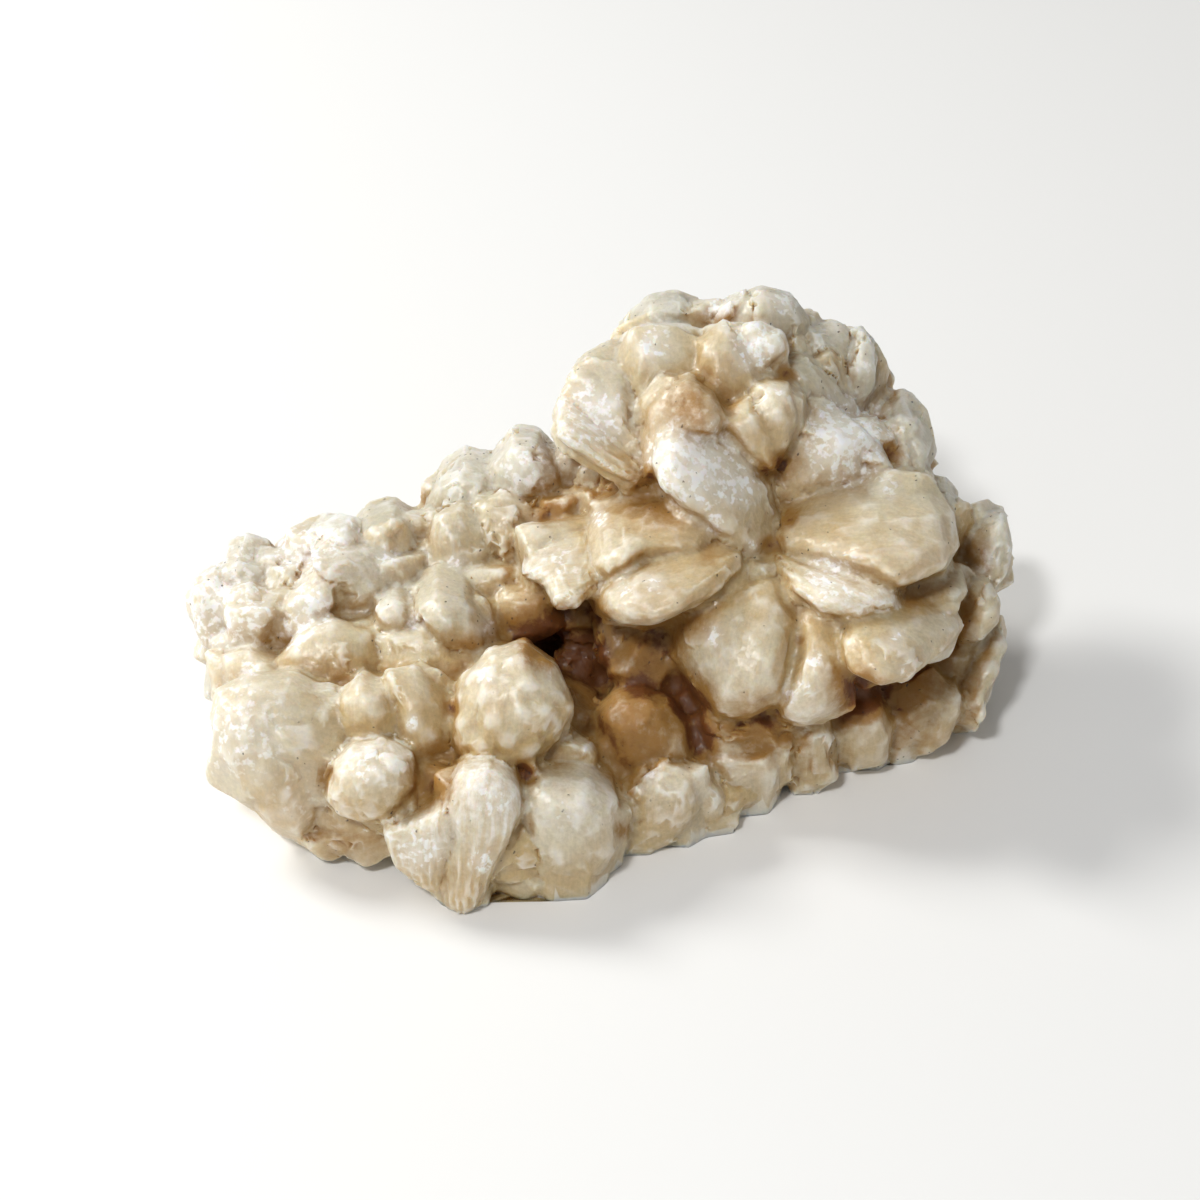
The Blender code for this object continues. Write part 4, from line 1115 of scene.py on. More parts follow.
@dataclass
class Core:
    """The massive stilbite under the crystals.

    Attributes:
        lumps: Middle and half sizes of each lump, in millimetres.
        grain_length: Over which its colour runs from root to tip, in metres.
        looks: How clear, how warm and how frosted it is.
    """

    lumps: tuple = CORE_LUMPS
    grain_length: float = 10 * MM
    looks: tuple[float, float, float] = (0.1, 0.9, 0.0)

    def grow(self, grown: list) -> None:
        """Adds each lump as a rough ball.

        Args:
            grown: Collects (piece, growth) for each lump.
        """
        for middle, half in self.lumps:
            deselect_all()
            bpy.ops.mesh.primitive_ico_sphere_add(subdivisions=3, radius=0.97 * MM)
            lump = bpy.context.object
            root, frame = Vector(middle) * MM, Matrix.Identity(3)
            lump.data.transform(Matrix.Translation(root) @ Matrix.Diagonal((*half, 1)))
            growth = Growth(root, frame, self.grain_length, Skin.STAINED, *self.looks)
            grown.append((lump, growth))
        log.info("core: %d lumps", len(self.lumps))


@dataclass
class Specimen:
    """All crystals, fused in one weathered stone.

    Attributes:
        grain: The finest detail that survives the fusing, in metres.
        filler_grain: The finest detail of what fills the gaps, in metres.
        gap: Half the width of the gaps that are filled, in metres.
        sink: How far the filling lies below the skins, in metres.
        most_triangles: That the fused stone may have.
        wear: How far the edges are rounded off.
        reach: How far a place looks for shading neighbours, in metres.
        rays: How many ways a place looks.
        distant: How much less a neighbour at full reach shades than one close by.
        off_skin: How far above the skin the looking starts, in metres.
        foot: Up to where the skins stay smooth over the table, in metres.
        rounds: How often the skin is evened out to tell what stands out of it.
        bump_unit: The unit in which that is told, in metres.
        seed: Of the small relief; without it Blender's vector noise follows the clock.
        grown: The crystals, each with its growth.
    """

    grain: float = 0.36 * MM
    filler_grain: float = 0.45 * MM
    gap: float = 0.72 * MM
    sink: float = 0.36 * MM
    most_triangles: int = 190_000
    wear: int = 8
    reach: float = 11 * MM
    rays: int = 20
    distant: float = 0.6
    off_skin: float = 0.15 * MM
    foot: float = 0.2 * MM
    rounds: int = 6
    bump_unit: float = 0.1 * MM
    seed: int = 6
    grown: list = field(default_factory=list)

    def fuse(self) -> bpy.types.Object:
        """Joins all crystals and grows their skins together.

        Returns:
            The fused stone.
        """
        self.growths = [growth for _, growth in self.grown]
        for number, (piece, _) in enumerate(self.grown):
            mark = piece.data.attributes.new("crystal", "INT", "FACE")
            mark.data.foreach_set("value", [number] * len(piece.data.polygons))
        deselect_all()
        for piece, _ in self.grown:
            piece.select_set(True)
        stone = self.grown[0][0]
        bpy.context.view_layer.objects.active = stone
        bpy.ops.object.join()
        bpy.ops.object.transform_apply()
        stone.name = "stilbite_crystals"
        data = stone.data
        points = [vertex.co.copy() for vertex in data.vertices]
        faces = [tuple(polygon.vertices) for polygon in data.polygons]
        owners = np.empty(len(faces), dtype=np.int32)
        data.attributes["crystal"].data.foreach_get("value", owners)
        self.tree = BVHTree.FromPolygons(points, faces)
        self.owners = owners
        filler = self.fill_gaps(stone)
        select_only(stone)
        filler.select_set(True)
        bpy.ops.object.join()
        apply_modifier(stone, "REMESH", mode="VOXEL", voxel_size=self.grain)
        apply_modifier(stone, "SMOOTH", factor=0.5, iterations=self.wear)
        bpy.ops.object.mode_set(mode="EDIT")
        bisect_all(Vector((0, 0, 0)), Vector((0, 0, -1)))
        bpy.ops.object.mode_set(mode="OBJECT")
        log.info("fused: %d faces", len(stone.data.polygons))
        return stone

    def fill_gaps(self, stone: bpy.types.Object) -> bpy.types.Object:
        """Fills the narrow gaps between crystals, a little below their skins.

        Args:
            stone: All crystals joined, but not yet fused.

        Returns:
            The filling, as a body of its own.
        """
        select_only(stone)
        bpy.ops.object.duplicate()
        filler = bpy.context.object
        for strength in (0.0, self.gap, -self.gap - self.sink):
            if strength:
                apply_modifier(filler, "DISPLACE", strength=strength, mid_level=0.0)
            apply_modifier(filler, "REMESH", mode="VOXEL", voxel_size=self.filler_grain)
        return filler

    def thin(self, stone: bpy.types.Object) -> None:
        """Thins the flatter places of the stone to the number of triangles that it may have."""
        triangles = sum(len(polygon.vertices) - 2 for polygon in stone.data.polygons)
        if triangles > self.most_triangles:
            apply_modifier(
                stone, "DECIMATE", ratio=self.most_triangles / triangles, use_collapse_triangulate=True
            )
        log.info("thinned: %d triangles from %d", len(stone.data.polygons), triangles)

    def weather(self, stone: bpy.types.Object) -> None:
        """Raises ribs, knobs and grain on the skins, and notes what each place looks like."""
        noise.seed_set(self.seed)
        data = stone.data
        count = len(data.vertices)
        flat = np.empty(count * 3, dtype=np.float32)
        data.vertices.foreach_get("co", flat)
        points = flat.reshape(-1, 3).astype(float)
        data.vertices.foreach_get("normal", flat)
        normals = flat.reshape(-1, 3).astype(float)
        owner = np.array([self.owners[self.tree.find_nearest(Vector(point))[2]] for point in points])
        frames = np.array([growth.frame for growth in self.growths])
        roots = np.array([growth.root for growth in self.growths])
        lengths = np.array([growth.length for growth in self.growths])
        local = np.einsum("nij,nj->ni", frames[owner], points - roots[owner])
        along = np.clip(local[:, 2] / lengths[owner], 0, 1.2)
        grain = local / MM
        lift = np.zeros(count)
        for index in range(count):
            growth = self.growths[owner[index]]
            lift[index] = skin_lift(growth, points[index] / MM, grain[index], int(owner[index]))
        lift[points[:, 2] < self.foot] = 0
        points += normals * (lift * MM)[:, None]
        points[:, 2] = np.maximum(points[:, 2], 0)
        data.vertices.foreach_set("co", points.astype(np.float32).ravel())
        data.update()
        self.note(data, "along", along)
        for name in ("clear", "honey", "frost"):
            values = np.array([getattr(growth, name) for growth in self.growths])
            self.note(data, name, values[owner])
        ribbed = np.array([float(growth.skin is Skin.RIBBED) for growth in self.growths])
        self.note(data, "ribbed", ribbed[owner])
        self.note(data, "convex", self.convexity(data, points, normals))
        # Painted shade: how far each place turns away from the light, which the colour turns honey.
        self.note(data, "painted_lee_shade", 0.5 - 0.5 * normals @ np.array(LIGHT_FOR_PAINTED_SHADE))
        seen = SIGHT.picture_of(points)
        facing = normals @ np.array(SIGHT.back)
        # Placed frost and painted highlight, and placed stain and painted shade.
        for spots in (FROST_AND_HIGHLIGHTS, STAINS_AND_SHADE):
            self.note(data, spots.name, spots.strength_at(seen, facing))
        made = data.attributes.new("grain", "FLOAT_VECTOR", "POINT")
        made.data.foreach_set("vector", grain.astype(np.float32).ravel())

    def convexity(self, data: bpy.types.Mesh, points: np.ndarray, normals: np.ndarray) -> np.ndarray:
        """Finds how far each place stands out of what lies round it.

        Args:
            data: The stone's mesh.
            points: Its places, in a row.
            normals: The direction out of the stone at each place.

        Returns:
            A number for each place, in bump units, less than 0 in hollows.
        """
        ends = np.empty(len(data.edges) * 2, dtype=np.int32)
        data.edges.foreach_get("vertices", ends)
        first, second = ends.reshape(-1, 2).T
        counts = np.bincount(ends, minlength=len(points))[:, None]
        smooth = points.copy()
        for _ in range(self.rounds):
            total = np.stack(
                [
                    np.bincount(first, smooth[second, axis], len(points))
                    + np.bincount(second, smooth[first, axis], len(points))
                    for axis in range(3)
                ],
                axis=1,
            )
            smooth = 0.5 * smooth + 0.5 * total / counts
        return np.einsum("ij,ij->i", points - smooth, normals) / self.bump_unit

    @staticmethod
    def note(data: bpy.types.Mesh, name: str, values: np.ndarray) -> None:
        """Writes one number for each place of a mesh under a name."""
        made = data.attributes.new(name, "FLOAT", "POINT")
        made.data.foreach_set("value", values.astype(np.float32))

    def shade_crevices(self, stone: bpy.types.Object) -> None:
        """Notes for each place how much of its sky the neighbouring crystals take."""
        data = stone.data
        points = [vertex.co.copy() for vertex in data.vertices]
        normals = [vertex.normal.copy() for vertex in data.vertices]
        faces = [tuple(polygon.vertices) for polygon in data.polygons]
        tree = BVHTree.FromPolygons(points, faces)
        golden = math.pi * (3 - math.sqrt(5))
        sky = []
        for step in range(self.rays):
            rise = math.sqrt((step + 0.5) / self.rays)
            ring = math.sqrt(1 - rise * rise)
            sky.append((ring * math.cos(golden * step), ring * math.sin(golden * step), rise))
        crevice = np.zeros(len(points))
        for index, (point, normal) in enumerate(zip(points, normals)):
            side = normal.orthogonal().normalized()
            other = normal.cross(side)
            start = point + normal * self.off_skin
            blocked = 0.0
            for x, y, z in sky:
                hit = tree.ray_cast(start, side * x + other * y + normal * z, self.reach)[3]
                if hit is not None:
                    blocked += 1 - self.distant * hit / self.reach
            crevice[index] = blocked / self.rays
        self.note(data, "crevice", crevice)
        log.info("crevices: mean %.2f, deepest %.2f", crevice.mean(), crevice.max())


@dataclass(frozen=True)
class Relief:
    """The small relief of a skin, in millimetres.

    Attributes:
        faces: Size and lean of the small flat faces, or nothing.
        knobs: Size and height of each layer of knobs.
        stripes: Height of the stripes along the crystal.
        own: Whether faces follow the crystal's own directions.
        patchy: Whether knobs come in patches only.
    """

    faces: tuple[float, float] | None = None
    knobs: tuple[tuple[float, float], ...] = ()
    stripes: float = 0.0
    own: bool = False
    patchy: bool = False


RELIEFS = {
    Skin.WAXY: Relief((4.6, 0.07), ((2.2, 0.24),), own=True, patchy=True),
    Skin.PEARLY: Relief((4.6, 0.07), ((2.2, 0.24),), own=True, patchy=True),
    Skin.FROSTED: Relief((2.6, 0.14), ((1.5, 0.22),)),
    Skin.GLASSY: Relief((4.0, 0.14), ((1.8, 0.12),), stripes=0.12, own=True),
    Skin.KNOBBLY: Relief(None, ((3.0, 0.65), (1.5, 0.16))),
    Skin.STAINED: Relief((2.4, 0.28), ((1.2, 0.16),)),
}


def skin_lift(growth: Growth, point: np.ndarray, grain: np.ndarray, number: int) -> float:
    """How far a skin stands out at one place.

    Args:
        growth: Of the crystal that the place is on.
        point: The place, in millimetres.
        grain: The place in the crystal's own directions, in millimetres from its root.
        number: Of the crystal, so that no two are alike.

    Returns:
        The lift in millimetres.
    """
    place = Vector(point)
    lift = 0.14 * noise.noise(place * 0.30) + 0.07 * noise.noise(place * 0.8)
    if growth.skin is Skin.RIBBED:
        return lift + ribs(grain, number)
    relief = RELIEFS[growth.skin]
    own = Vector((grain[0] + 7 * number, grain[1], grain[2] * 0.55))
    share = 1.0
    if relief.patchy:
        share = min(1.0, max(0.0, 0.5 + 1.6 * noise.noise(place * 0.22 + Vector((9, 4, 2)))))
    layers = [knobs(place, *layer) * share for layer in relief.knobs]
    if relief.faces:
        layers.insert(0, broken_faces(own if relief.own else place, *relief.faces))
    if relief.stripes:
        stripe = noise.noise(Vector((own.x * 1.8, own.y * 1.8, own.z * 0.3)))
        layers.append(relief.stripes * stripe)
    return lift + sum(layers)


def ribs(grain: np.ndarray, number: int) -> float:
    """The lift of ribs that fan out from a crystal's root.

    Args:
        grain: The place in the crystal's own directions, in millimetres from its root.
        number: Of the crystal.

    Returns:
        The lift in millimetres.
    """
    spread = max(3.0, grain[2] + 6.0)
    sway = noise.noise(Vector((grain[0] * 0.3, number, grain[2] * 0.15)))
    across = grain[0] / spread * 13 + 0.8 * sway
    rib = abs(math.sin(across * 2.4)) ** 0.7 + 0.45 * abs(math.sin(across * 6.1 + 1.3))
    fine = noise.noise(Vector((grain[0] * 3.2, grain[1] * 3.2, grain[2] * 0.25)))
    return 0.24 * (rib - 0.7) + 0.10 * fine


def knobs(place: Vector, size: float, height: float) -> float:
    """The lift of low, smooth knobs.

    Args:
        place: Where it is wanted, in millimetres.
        size: Of the knobs, in millimetres.
        height: Sets how high they rise, in millimetres.

    Returns:
        The lift in millimetres.
    """
    near = noise.voronoi(place / size)[0][0]
    return height * (0.4 - 1.5 * near * near)


def broken_faces(place: Vector, size: float, tilt: float) -> float:
    """The lift of small flat faces that each lean another way.

    Args:
        place: Where it is wanted, in millimetres.
        size: Of the faces, in millimetres.
        tilt: How far they lean, as rise over run.

    Returns:
        The lift in millimetres.
    """
    centre = noise.voronoi(place / size)[1][0]
    lean = noise.noise_vector(centre * 5.3)
    return lean.dot(place / size - centre) * size * tilt * 1.6


class Bench:
    """Lays out a material's nodes, so that the looks read as one step after another."""

    def __init__(self, name: str) -> None:
        """Starts an empty material with its shader and output."""
        self.material = bpy.data.materials.new(name)
        self.material.use_nodes = True
        self.tree = self.material.node_tree
        self.shader = self.tree.nodes["Principled BSDF"]

    def node(self, kind: str, **settings: object) -> bpy.types.Node:
        """Adds a node and sets its properties."""
        made = self.tree.nodes.new(kind)
        for name, value in settings.items():
            setattr(made, name, value)
        return made

    def link(self, source: Socket, target: Socket) -> None:
        """Joins two sockets."""
        self.tree.links.new(source, target)

    def feed(self, socket: Socket, value: object) -> None:
        """Gives a socket either another socket's value or a fixed one."""
        if isinstance(value, Socket):
            self.link(value, socket)
        else:
            socket.default_value = value

    def noted(self, name: str) -> Socket:
        """A number that the stone carries for every place."""
        return self.node("ShaderNodeAttribute", attribute_name=name).outputs["Fac"]

    def noted_place(self, name: str) -> Socket:
        """Three numbers that the stone carries for every place."""
        return self.node("ShaderNodeAttribute", attribute_name=name).outputs["Vector"]

    def place(self) -> Socket:
        """The place on the specimen, in metres."""
        return self.node("ShaderNodeTexCoord").outputs["Object"]

    def work_out(self, work: str, first: object, second: object, clamp: bool = False) -> Socket:
        """Works out one number from two.

        Args:
            work: The Math node's operation.
            first: A socket or a number.
            second: A socket or a number.
            clamp: Whether the result stays between 0 and 1.

        Returns:
            The result.
        """
        made = self.node("ShaderNodeMath", operation=work, use_clamp=clamp)
        self.feed(made.inputs[0], first)
        self.feed(made.inputs[1], second)
        return made.outputs[0]

    def add(self, *terms: object) -> Socket:
        """Adds sockets and numbers up, from the first to the last."""
        return reduce(lambda total, term: self.work_out("ADD", total, term), terms)

    def times(self, *factors: object) -> Socket:
        """Multiplies sockets and numbers, from the first to the last."""
        return reduce(lambda total, factor: self.work_out("MULTIPLY", total, factor), factors)

    def stretch(
        self, value: object, low: float, high: float, bottom: float = 0.0, top: float = 1.0
    ) -> Socket:
        """Maps a value's range, smoothly and within its ends.

        Args:
            value: A socket.
            low: What becomes the bottom.
            high: What becomes the top.
            bottom: The least result.
            top: The greatest result.

        Returns:
            The mapped value.
        """
        made = self.node("ShaderNodeMapRange", interpolation_type="SMOOTHSTEP")
        for socket, given in zip(made.inputs, (value, low, high, bottom, top)):
            self.feed(socket, given)
        return made.outputs["Result"]

    def blend(self, share: object, first: object, second: object, way: str = "MIX") -> Socket:
        """Mixes two colours.

        Args:
            share: Of the second, a socket or a number.
            first: A colour or a socket.
            second: A colour or a socket.
            way: The Mix node's blend type.

        Returns:
            The colour.
        """
        made = self.node("ShaderNodeMix", data_type="RGBA", blend_type=way)
        self.feed(made.inputs[0], share)
        self.feed(made.inputs[6], first)
        self.feed(made.inputs[7], second)
        return made.outputs[2]

    def noise(
        self, place: object, size: float, detail: float = 3.0, rough: float = 0.55
    ) -> Socket:
        """Cloudy noise.

        Args:
            place: Where it is read.
            size: Of the clouds, in the place's unit.
            detail: How many finer layers it has.
            rough: How strong the finer layers are.

        Returns:
            A value round 0.5.
        """
        made = self.node("ShaderNodeTexNoise")
        self.feed(made.inputs["Vector"], place)
        made.inputs["Scale"].default_value = 1 / size
        made.inputs["Detail"].default_value = detail
        made.inputs["Roughness"].default_value = rough
        return made.outputs["Fac"]

    def cells(self, place: object, size: float) -> bpy.types.Node:
        """A Voronoi pattern with cells of a size."""
        made = self.node("ShaderNodeTexVoronoi")
        self.feed(made.inputs["Vector"], place)
        made.inputs["Scale"].default_value = 1 / size
        return made

    def tilted(self, place: object, size: float) -> Socket:
        """The height of small flat faces that each lean another way."""
        cell = self.cells(place, size)
        lean = self.node("ShaderNodeVectorMath", operation="SUBTRACT")
        self.link(cell.outputs["Color"], lean.inputs[0])
        lean.inputs[1].default_value = (0.5, 0.5, 0.5)
        run = self.node("ShaderNodeVectorMath", operation="SUBTRACT")
        self.feed(run.inputs[0], place)
        self.link(cell.outputs["Position"], run.inputs[1])
        rise = self.node("ShaderNodeVectorMath", operation="DOT_PRODUCT")
        self.link(lean.outputs[0], rise.inputs[0])
        self.link(run.outputs[0], rise.inputs[1])
        return self.times(rise.outputs["Value"], 2 / size)

    def shift(self, place: object, by: object) -> Socket:
        """Shifts a place by the same length in all three directions."""
        made = self.node("ShaderNodeVectorMath", operation="ADD")
        self.feed(made.inputs[0], place)
        self.feed(made.inputs[1], by)
        return made.outputs[0]

    def squeeze(self, place: object, share: tuple[float, float, float]) -> Socket:
        """Scales a place along its three directions, for a pattern with a grain."""
        made = self.node("ShaderNodeMapping")
        self.feed(made.inputs["Vector"], place)
        made.inputs["Scale"].default_value = share
        return made.outputs[0]


@dataclass(frozen=True)
class StilbiteSkin:
    """The waxy to pearly outside of stilbite, with painted shade and painted highlights in its colour.

    Attributes:
        cream: Of the skins where no painted shade lies.
        honey: Of the warm crystals and of the roots, and painted shade on skins turned from the light
            and in crevices.
        amber: Painted shade where crystals meet and in hollows; also stain and painted shade at placed
            spots.
        umber: Painted shade in the deepest gaps, and the darkest placed stain and shade.
        glass: Of the clear grey-green crystals.
        frost: Of the white tips and ribs, and of painted highlights and painted rim light.
        speck: Of the dark grains that lie on and in the crystals.
        glow: How far red, green and blue light run inside, as shares of the glow's depth.
        glow_depth: In metres.
        cloud_size: Of the clouds of warmer colour, in metres.
        fine_size: Of the finest grain, in metres.
        powder_size: Of the clouds that break up frost and stains, in metres.
        pearl_size: Of the clusters of placed frost and painted highlight, in metres.
        mottle_size: Of the faint mottling, in metres.
        fibre_grain: How the fibres are drawn out, across, out and along.
        speck_cell: Of the cells that hold a dark grain or none, in metres.
        speck_field: Of the fields with more or fewer grains, in metres.
        faces: Size in metres and share of the relief, for each layer of tilted faces.
        bump: Strength, and depth in metres, of the finest relief.
        coat: Weight and roughness of the outermost sheen.
        refraction: How strongly the skin bends light.
        see_through: Of the clear crystals.
    """

    cream: Colour = (0.64, 0.545, 0.355, 1)
    honey: Colour = (0.55, 0.395, 0.18, 1)
    amber: Colour = (0.345, 0.18, 0.042, 1)
    umber: Colour = (0.16, 0.05, 0.006, 1)
    glass: Colour = (0.60, 0.59, 0.49, 1)
    frost: Colour = (0.94, 0.93, 0.90, 1)
    speck: Colour = (0.06, 0.04, 0.025, 1)
    glow: tuple[float, float, float] = (1.0, 0.76, 0.48)
    glow_depth: float = 3.4 * MM
    cloud_size: float = 5 * MM
    fine_size: float = 0.9 * MM
    powder_size: float = 1.1 * MM
    pearl_size: float = 1.0 * MM
    mottle_size: float = 0.55 * MM
    fibre_grain: tuple[float, float, float] = (2.6, 2.6, 0.22)
    speck_cell: float = 0.8 * MM
    speck_field: float = 6 * MM
    faces: tuple[tuple[float, float], ...] = ((1.1 * MM, 0.50), (0.5 * MM, 0.14))
    bump: tuple[float, float] = (0.45, 0.35 * MM)
    coat: tuple[float, float] = (0.12, 0.16)
    refraction: float = 1.50
    see_through: float = 0.20

    def mix(self) -> bpy.types.Material:
        """Builds the material."""
        bench = Bench("stilbite skin")
        place = bench.place()
        cloud = bench.noise(place, self.cloud_size)
        fine = bench.noise(place, self.fine_size, 5, 0.65)
        powder = bench.noise(place, self.powder_size, 5, 0.62)
        grain = bench.squeeze(bench.noted_place("grain"), self.fibre_grain)
        fibre = bench.noise(grain, 1.0, 4, 0.6)
        clear = bench.times(bench.noted("clear"), bench.stretch(cloud, 0.25, 0.6, 0.6, 1.0))
        white = self.whiten(bench, place, powder)
        gaps = self.find_shade_and_stains(bench, fine, powder)

        # Cream to honey: the crystals' own warmth, with painted shade where the skin turns from the
        # light and where neighbours shade it.
        colour = bench.blend(self.warmth_and_painted_shade(bench, cloud), self.cream, self.honey)
        colour = bench.blend(clear, colour, self.glass)
        mottle = bench.noise(place, self.mottle_size, 4, 0.6)
        mottle = bench.stretch(mottle, 0.32, 0.68, 0.93, 1.06)
        mottle = bench.times(mottle, bench.stretch(fibre, 0.3, 0.7, 0.95, 1.04))
        colour = bench.blend(1.0, colour, mottle, "MULTIPLY")
        # Real frost, painted highlights and painted rim light.
        colour = bench.blend(white, colour, self.frost)
        dull = bench.times(bench.stretch(fibre, 0.42, 0.66), bench.noted("ribbed"), 0.25)
        colour = bench.blend(dull, colour, self.honey)
        # Painted shade deep in gaps and hollows, with real stains and painted shade at placed spots:
        # amber, then umber.
        colour = bench.blend(bench.stretch(gaps, 0.14, 0.66), colour, self.amber)
        colour = bench.blend(bench.stretch(gaps, 0.68, 0.98), colour, self.umber)
        colour = bench.blend(self.scatter_specks(bench, place, fine, clear), colour, self.speck)
        bench.link(colour, bench.shader.inputs["Base Color"])

        self.polish(bench, fine, white, gaps)
        self.roughen(bench, place, fine, fibre)
        self.let_light_in(bench, clear, white)
        return bench.material

    def warmth_and_painted_shade(self, bench: Bench, cloud: Socket) -> Socket:
        """Finds how honey-coloured each place is: its own warmth and clouds, more towards the root, and
        painted shade where the skin turns from the light and where neighbours shade it.

        Args:
            bench: Where the material is laid out.
            cloud: Clouds of warmer colour.

        Returns:
            A share from 0 to 1.
        """
        warmth = bench.add(
            bench.noted("honey"),
            bench.stretch(cloud, 0.3, 0.7, -0.32, 0.32),
            bench.stretch(bench.noted("along"), 0.15, 0.9, 0.30, -0.30),
            # Painted shade: honey where the skin turns from the light and where neighbouring crystals
            # shade it.
            bench.stretch(bench.noted("painted_lee_shade"), 0.08, 0.55, -0.15, 0.55),
            bench.stretch(bench.noted("crevice"), 0.02, 0.35, -0.05, 0.55),
        )
        return bench.stretch(warmth, 0.05, 0.9)

    def whiten(self, bench: Bench, place: Socket, powder: Socket) -> Socket:
        """Finds how white each place is: real frost at the tips, placed clusters of frost and painted
        highlight, and painted rim light on outer edges.

        Args:
            bench: Where the material is laid out.
            place: On the specimen.
            powder: Clouds that break the frost up.

        Returns:
            A share from 0 to 1.
        """
        tips = bench.times(
            bench.noted("frost"),
            bench.stretch(bench.noted("along"), 0.30, 1.0, 0.15, 0.75),
            bench.stretch(powder, 0.30, 0.70, 0.45, 1.0),
        )
        # Painted shade: frost at the tips fades where neighbouring crystals shade the skin.
        neighbour_shade = bench.stretch(bench.noted("crevice"), 0.15, 0.5)
        tips = bench.work_out("SUBTRACT", tips, neighbour_shade, True)
        # Placed spots of frost and painted highlight, broken into clusters.
        frost_and_highlight = bench.noted("frost_and_highlight")
        pearls = bench.add(bench.noise(place, self.pearl_size, 2.5), bench.times(frost_and_highlight, 0.20))
        pearls = bench.times(bench.stretch(pearls, 0.53, 0.76), bench.stretch(frost_and_highlight, 0.1, 0.6))
        placed = bench.work_out("MAXIMUM", bench.times(frost_and_highlight, 0.58), pearls)
        # Painted rim light: outer edges that stand out are whitened.
        edges = bench.stretch(bench.noted("convex"), 0.3, 2.2, 0.0, 0.40)
        return bench.work_out("ADD", bench.work_out("MAXIMUM", tips, placed), edges, True)

    def find_shade_and_stains(self, bench: Bench, fine: Socket, powder: Socket) -> Socket:
        """Finds how much painted shade and stain each place carries: painted shade deep in gaps and
        hollows, and placed stain and painted shade.

        Args:
            bench: Where the material is laid out.
            fine: The finest grain.
            powder: Clouds that break the stains up.

        Returns:
            A share that passes 0.14 where amber starts and 0.68 where umber does.
        """
        return bench.add(
            # Painted shade from the crevices and the hollows, with placed stain and painted shade, and a
            # little grain.
            bench.noted("crevice"),
            bench.times(bench.noted("stain"), bench.stretch(powder, 0.25, 0.6, 0.62, 0.92)),
            bench.stretch(fine, 0.3, 0.7, -0.05, 0.05),
            bench.stretch(bench.noted("convex"), -2.5, -0.3, 0.10, 0.0),
        )

    def scatter_specks(self, bench: Bench, place: Socket, fine: Socket, clear: Socket) -> Socket:
        """Finds where dark grains lie: in fields, in the clear crystals and in the gaps.

        Args:
            bench: Where the material is laid out.
            place: On the specimen.
            fine: The finest grain, which makes the grains ragged.
            clear: How clear the crystals are.

        Returns:
            A share from 0 to 1.
        """
        ragged = bench.shift(place, bench.times(fine, self.fine_size))
        dots = bench.cells(ragged, self.speck_cell)
        picked = bench.node("ShaderNodeSeparateColor")
        bench.link(dots.outputs["Color"], picked.inputs[0])
        wanted = bench.add(
            bench.stretch(bench.noise(place, self.speck_field, 2), 0.45, 0.75, 0.0, 0.10),
            bench.times(clear, 0.22),
            bench.stretch(bench.noted("crevice"), 0.25, 0.6, 0.0, 0.22),
        )
        chosen = bench.work_out("SUBTRACT", wanted, picked.outputs[0])
        near = bench.stretch(dots.outputs["Distance"], 0.10, 0.24, 0.8, 0.0)
        return bench.times(near, bench.stretch(chosen, -0.01, 0.01))

    def polish(self, bench: Bench, fine: Socket, white: Socket, gaps: Socket) -> None:
        """Sets how the skin shines: duller where it is frosted and in the gaps."""
        rough = bench.add(
            bench.stretch(fine, 0.3, 0.7, 0.27, 0.44),
            bench.times(white, 0.12),
            bench.stretch(gaps, 0.25, 0.7, 0.0, 0.25),
        )
        inputs = bench.shader.inputs
        bench.link(rough, inputs["Roughness"])
        inputs["Coat Weight"].default_value, inputs["Coat Roughness"].default_value = self.coat
        inputs["IOR"].default_value = self.refraction

    def roughen(self, bench: Bench, place: Socket, fine: Socket, fibre: Socket) -> None:
        """Adds the relief that is too fine for the mesh: grain, fibres and small faces."""
        ribbed = bench.stretch(bench.noted("ribbed"), 0, 1, 0.08, 0.45)
        faces = (bench.times(bench.tilted(place, size), share) for size, share in self.faces)
        height = bench.add(bench.times(fine, 0.30), bench.times(fibre, ribbed), *faces)
        bump = bench.node("ShaderNodeBump")
        bump.inputs["Strength"].default_value, bump.inputs["Distance"].default_value = self.bump
        bench.link(height, bump.inputs["Height"])
        for name in ("Normal", "Coat Normal"):
            bench.link(bump.outputs[0], bench.shader.inputs[name])

    def let_light_in(self, bench: Bench, clear: Socket, white: Socket) -> None:
        """Lets light run inside the stone, and through the clear crystals."""
        inputs = bench.shader.inputs
        bench.shader.subsurface_method = "RANDOM_WALK"
        bench.link(bench.stretch(white, 0.0, 1.0, 0.95, 0.75), inputs["Subsurface Weight"])
        bench.link(bench.times(clear, self.see_through), inputs["Transmission Weight"])
        inputs["Subsurface Radius"].default_value = self.glow
        inputs["Subsurface Scale"].default_value = self.glow_depth


@dataclass(frozen=True)
class Lamp:
    """A soft, square light that shines at the specimen.

    Attributes:
        name: Of the light.
        place: Where it hangs, in metres.
        size: Its side, in metres.
        power: In watts.
        colour: Of its light.
    """

    name: str
    place: tuple[float, float, float]
    size: float
    power: float
    colour: tuple[float, float, float]

    def hang(self) -> None:
        """Hangs the light and turns it to the specimen."""
        lamp = bpy.data.lights.new(self.name, "AREA")
        lamp.shape = "SQUARE"
        lamp.size = self.size
        lamp.energy = self.power
        lamp.color = self.colour
        holder = bpy.data.objects.new(self.name, lamp)
        holder.location = self.place
        holder.rotation_euler = (SIGHT.aim - Vector(self.place)).to_track_quat("-Z", "Y").to_euler()
        bpy.context.scene.collection.objects.link(holder)


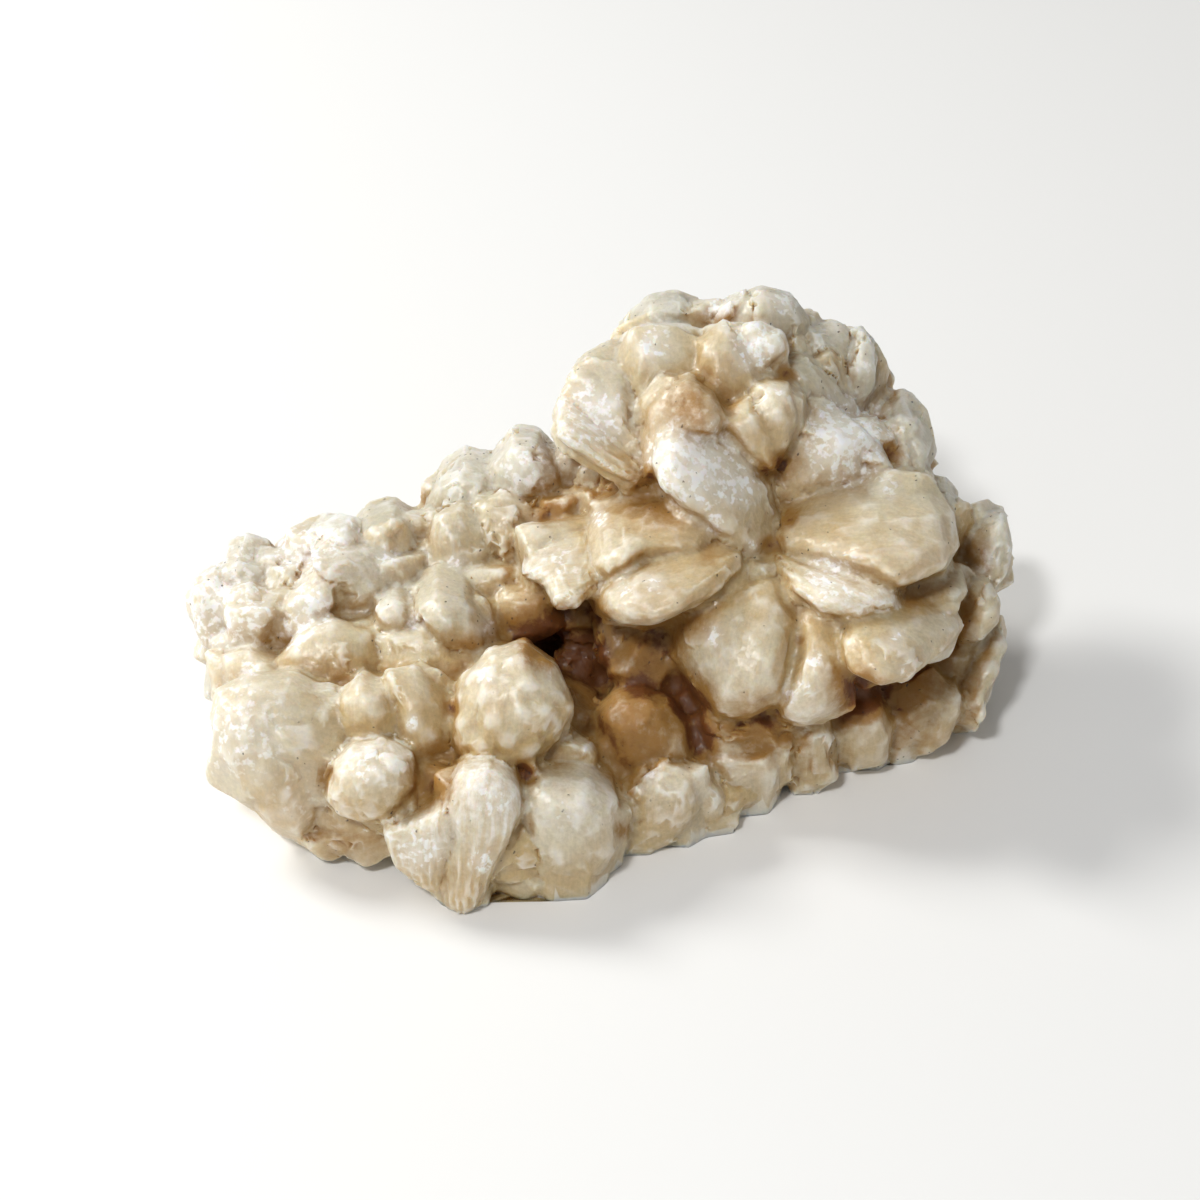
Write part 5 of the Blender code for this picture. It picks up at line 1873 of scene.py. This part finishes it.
@dataclass
class Studio:
    """The pale floor, the soft lights and the camera at the photo's angle.

    Attributes:
        lens: Of the camera, in millimetres.
        nearest: What the camera still sees, in metres.
        floor_size: Side of the floor, in metres.
        floor_tones: The two tones of the floor.
        floor_cloud: Of the floor's clouds, in metres.
        floor_rough: How dull the floor is.
        surroundings: How bright the white surroundings are.
        lamps: What lights the specimen.
    """

    lens: float = 84.0
    nearest: float = 0.01
    floor_size: float = 6.0
    floor_tones: tuple[Colour, Colour] = ((0.90, 0.90, 0.89, 1), (0.88, 0.88, 0.87, 1))
    floor_cloud: float = 0.5
    floor_rough: float = 0.7
    surroundings: float = 0.28
    lamps: tuple[Lamp, ...] = (
        Lamp("window", (-0.54, 0.26, 0.50), 0.20, 4.2, (1.0, 0.99, 0.96)),
        Lamp("glint", (-0.22, -0.42, 0.68), 0.10, 3.0, (1.0, 1.0, 1.0)),
        Lamp("fill", (-0.55, -0.65, 0.45), 0.8, 0.5, (1.0, 0.98, 0.95)),
    )

    def lay_floor(self) -> bpy.types.Object:
        """Lays the plain pale floor under the specimen."""
        deselect_all()
        bpy.ops.mesh.primitive_plane_add(size=self.floor_size, location=(0, 0, 0))
        floor = bpy.context.object
        floor.name = "pale_floor"
        bench = Bench("pale floor")
        tone = bench.noise(bench.place(), self.floor_cloud, 2)
        colour = bench.blend(bench.stretch(tone, 0.3, 0.7), *self.floor_tones)
        bench.link(colour, bench.shader.inputs["Base Color"])
        bench.shader.inputs["Roughness"].default_value = self.floor_rough
        floor.data.materials.append(bench.material)
        return floor

    def set_up(self) -> None:
        """Hangs the lights, sets the surroundings and stands the camera."""
        for lamp in self.lamps:
            lamp.hang()
        world = bpy.data.worlds.new("studio")
        world.use_nodes = True
        background = world.node_tree.nodes["Background"]
        background.inputs["Color"].default_value = (1, 1, 1, 1)
        background.inputs["Strength"].default_value = self.surroundings
        bpy.context.scene.world = world
        bpy.context.scene.view_settings.view_transform = "Standard"
        camera = bpy.data.cameras.new("photo view")
        camera.lens = self.lens
        camera.clip_start = self.nearest
        holder = bpy.data.objects.new("photo view", camera)
        holder.location = SIGHT.eye
        holder.rotation_euler = (-SIGHT.back).to_track_quat("-Z", "Y").to_euler()
        bpy.context.scene.collection.objects.link(holder)
        bpy.context.scene.camera = holder


def measure(stage: str, sizes: dict) -> None:
    """Notes the specimen's bounds as plain numbers."""
    sizes[stage] = [[float(number) for number in corner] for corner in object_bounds()]
    log.info("bounds %s: %s", stage, sizes[stage])


def main() -> None:
    """Builds the specimen and its studio in order."""
    logging.basicConfig(level=logging.INFO, format="%(name)s: %(message)s")
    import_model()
    sizes: dict = {}
    measure("frame", sizes)

    kit = Kit()
    kit.model()
    log.info("kit: %d shapes", len(kit.shapes))
    specimen = Specimen()
    zones = (
        Zone("front rosette", FRONT_ROSETTE_STONES, FRONT_ROSETTE_SHOOTS, relief=1.30, set_back=3.4),
        Zone("upper rosette", UPPER_ROSETTE_STONES, UPPER_ROSETTE_SHOOTS),
        Zone("right end", RIGHT_END_STONES, RIGHT_END_SHOOTS),
        Zone("front row", FRONT_ROW_STONES, FRONT_ROW_SHOOTS),
        Zone("left field", LEFT_FIELD_STONES, LEFT_FIELD_SHOOTS),
        Zone("back ridge", BACK_RIDGE_STONES, BACK_RIDGE_SHOOTS),
    )
    for zone in zones:
        zone.grow(kit, specimen.grown)
    FarSide().grow(kit, specimen.grown)
    Core().grow(specimen.grown)
    kit.put_away()

    stone = specimen.fuse()
    specimen.thin(stone)
    specimen.weather(stone)
    specimen.shade_crevices(stone)
    stone.data.materials.clear()
    stone.data.materials.append(StilbiteSkin().mix())
    select_only(stone)
    bpy.ops.object.shade_smooth_by_angle(angle=EDGE_ANGLE)
    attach(stone, "root")
    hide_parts(NODE)

    studio = Studio()
    studio.lay_floor()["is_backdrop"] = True
    studio.set_up()
    measure("looks", sizes)


if __name__ == "__main__":
    main()
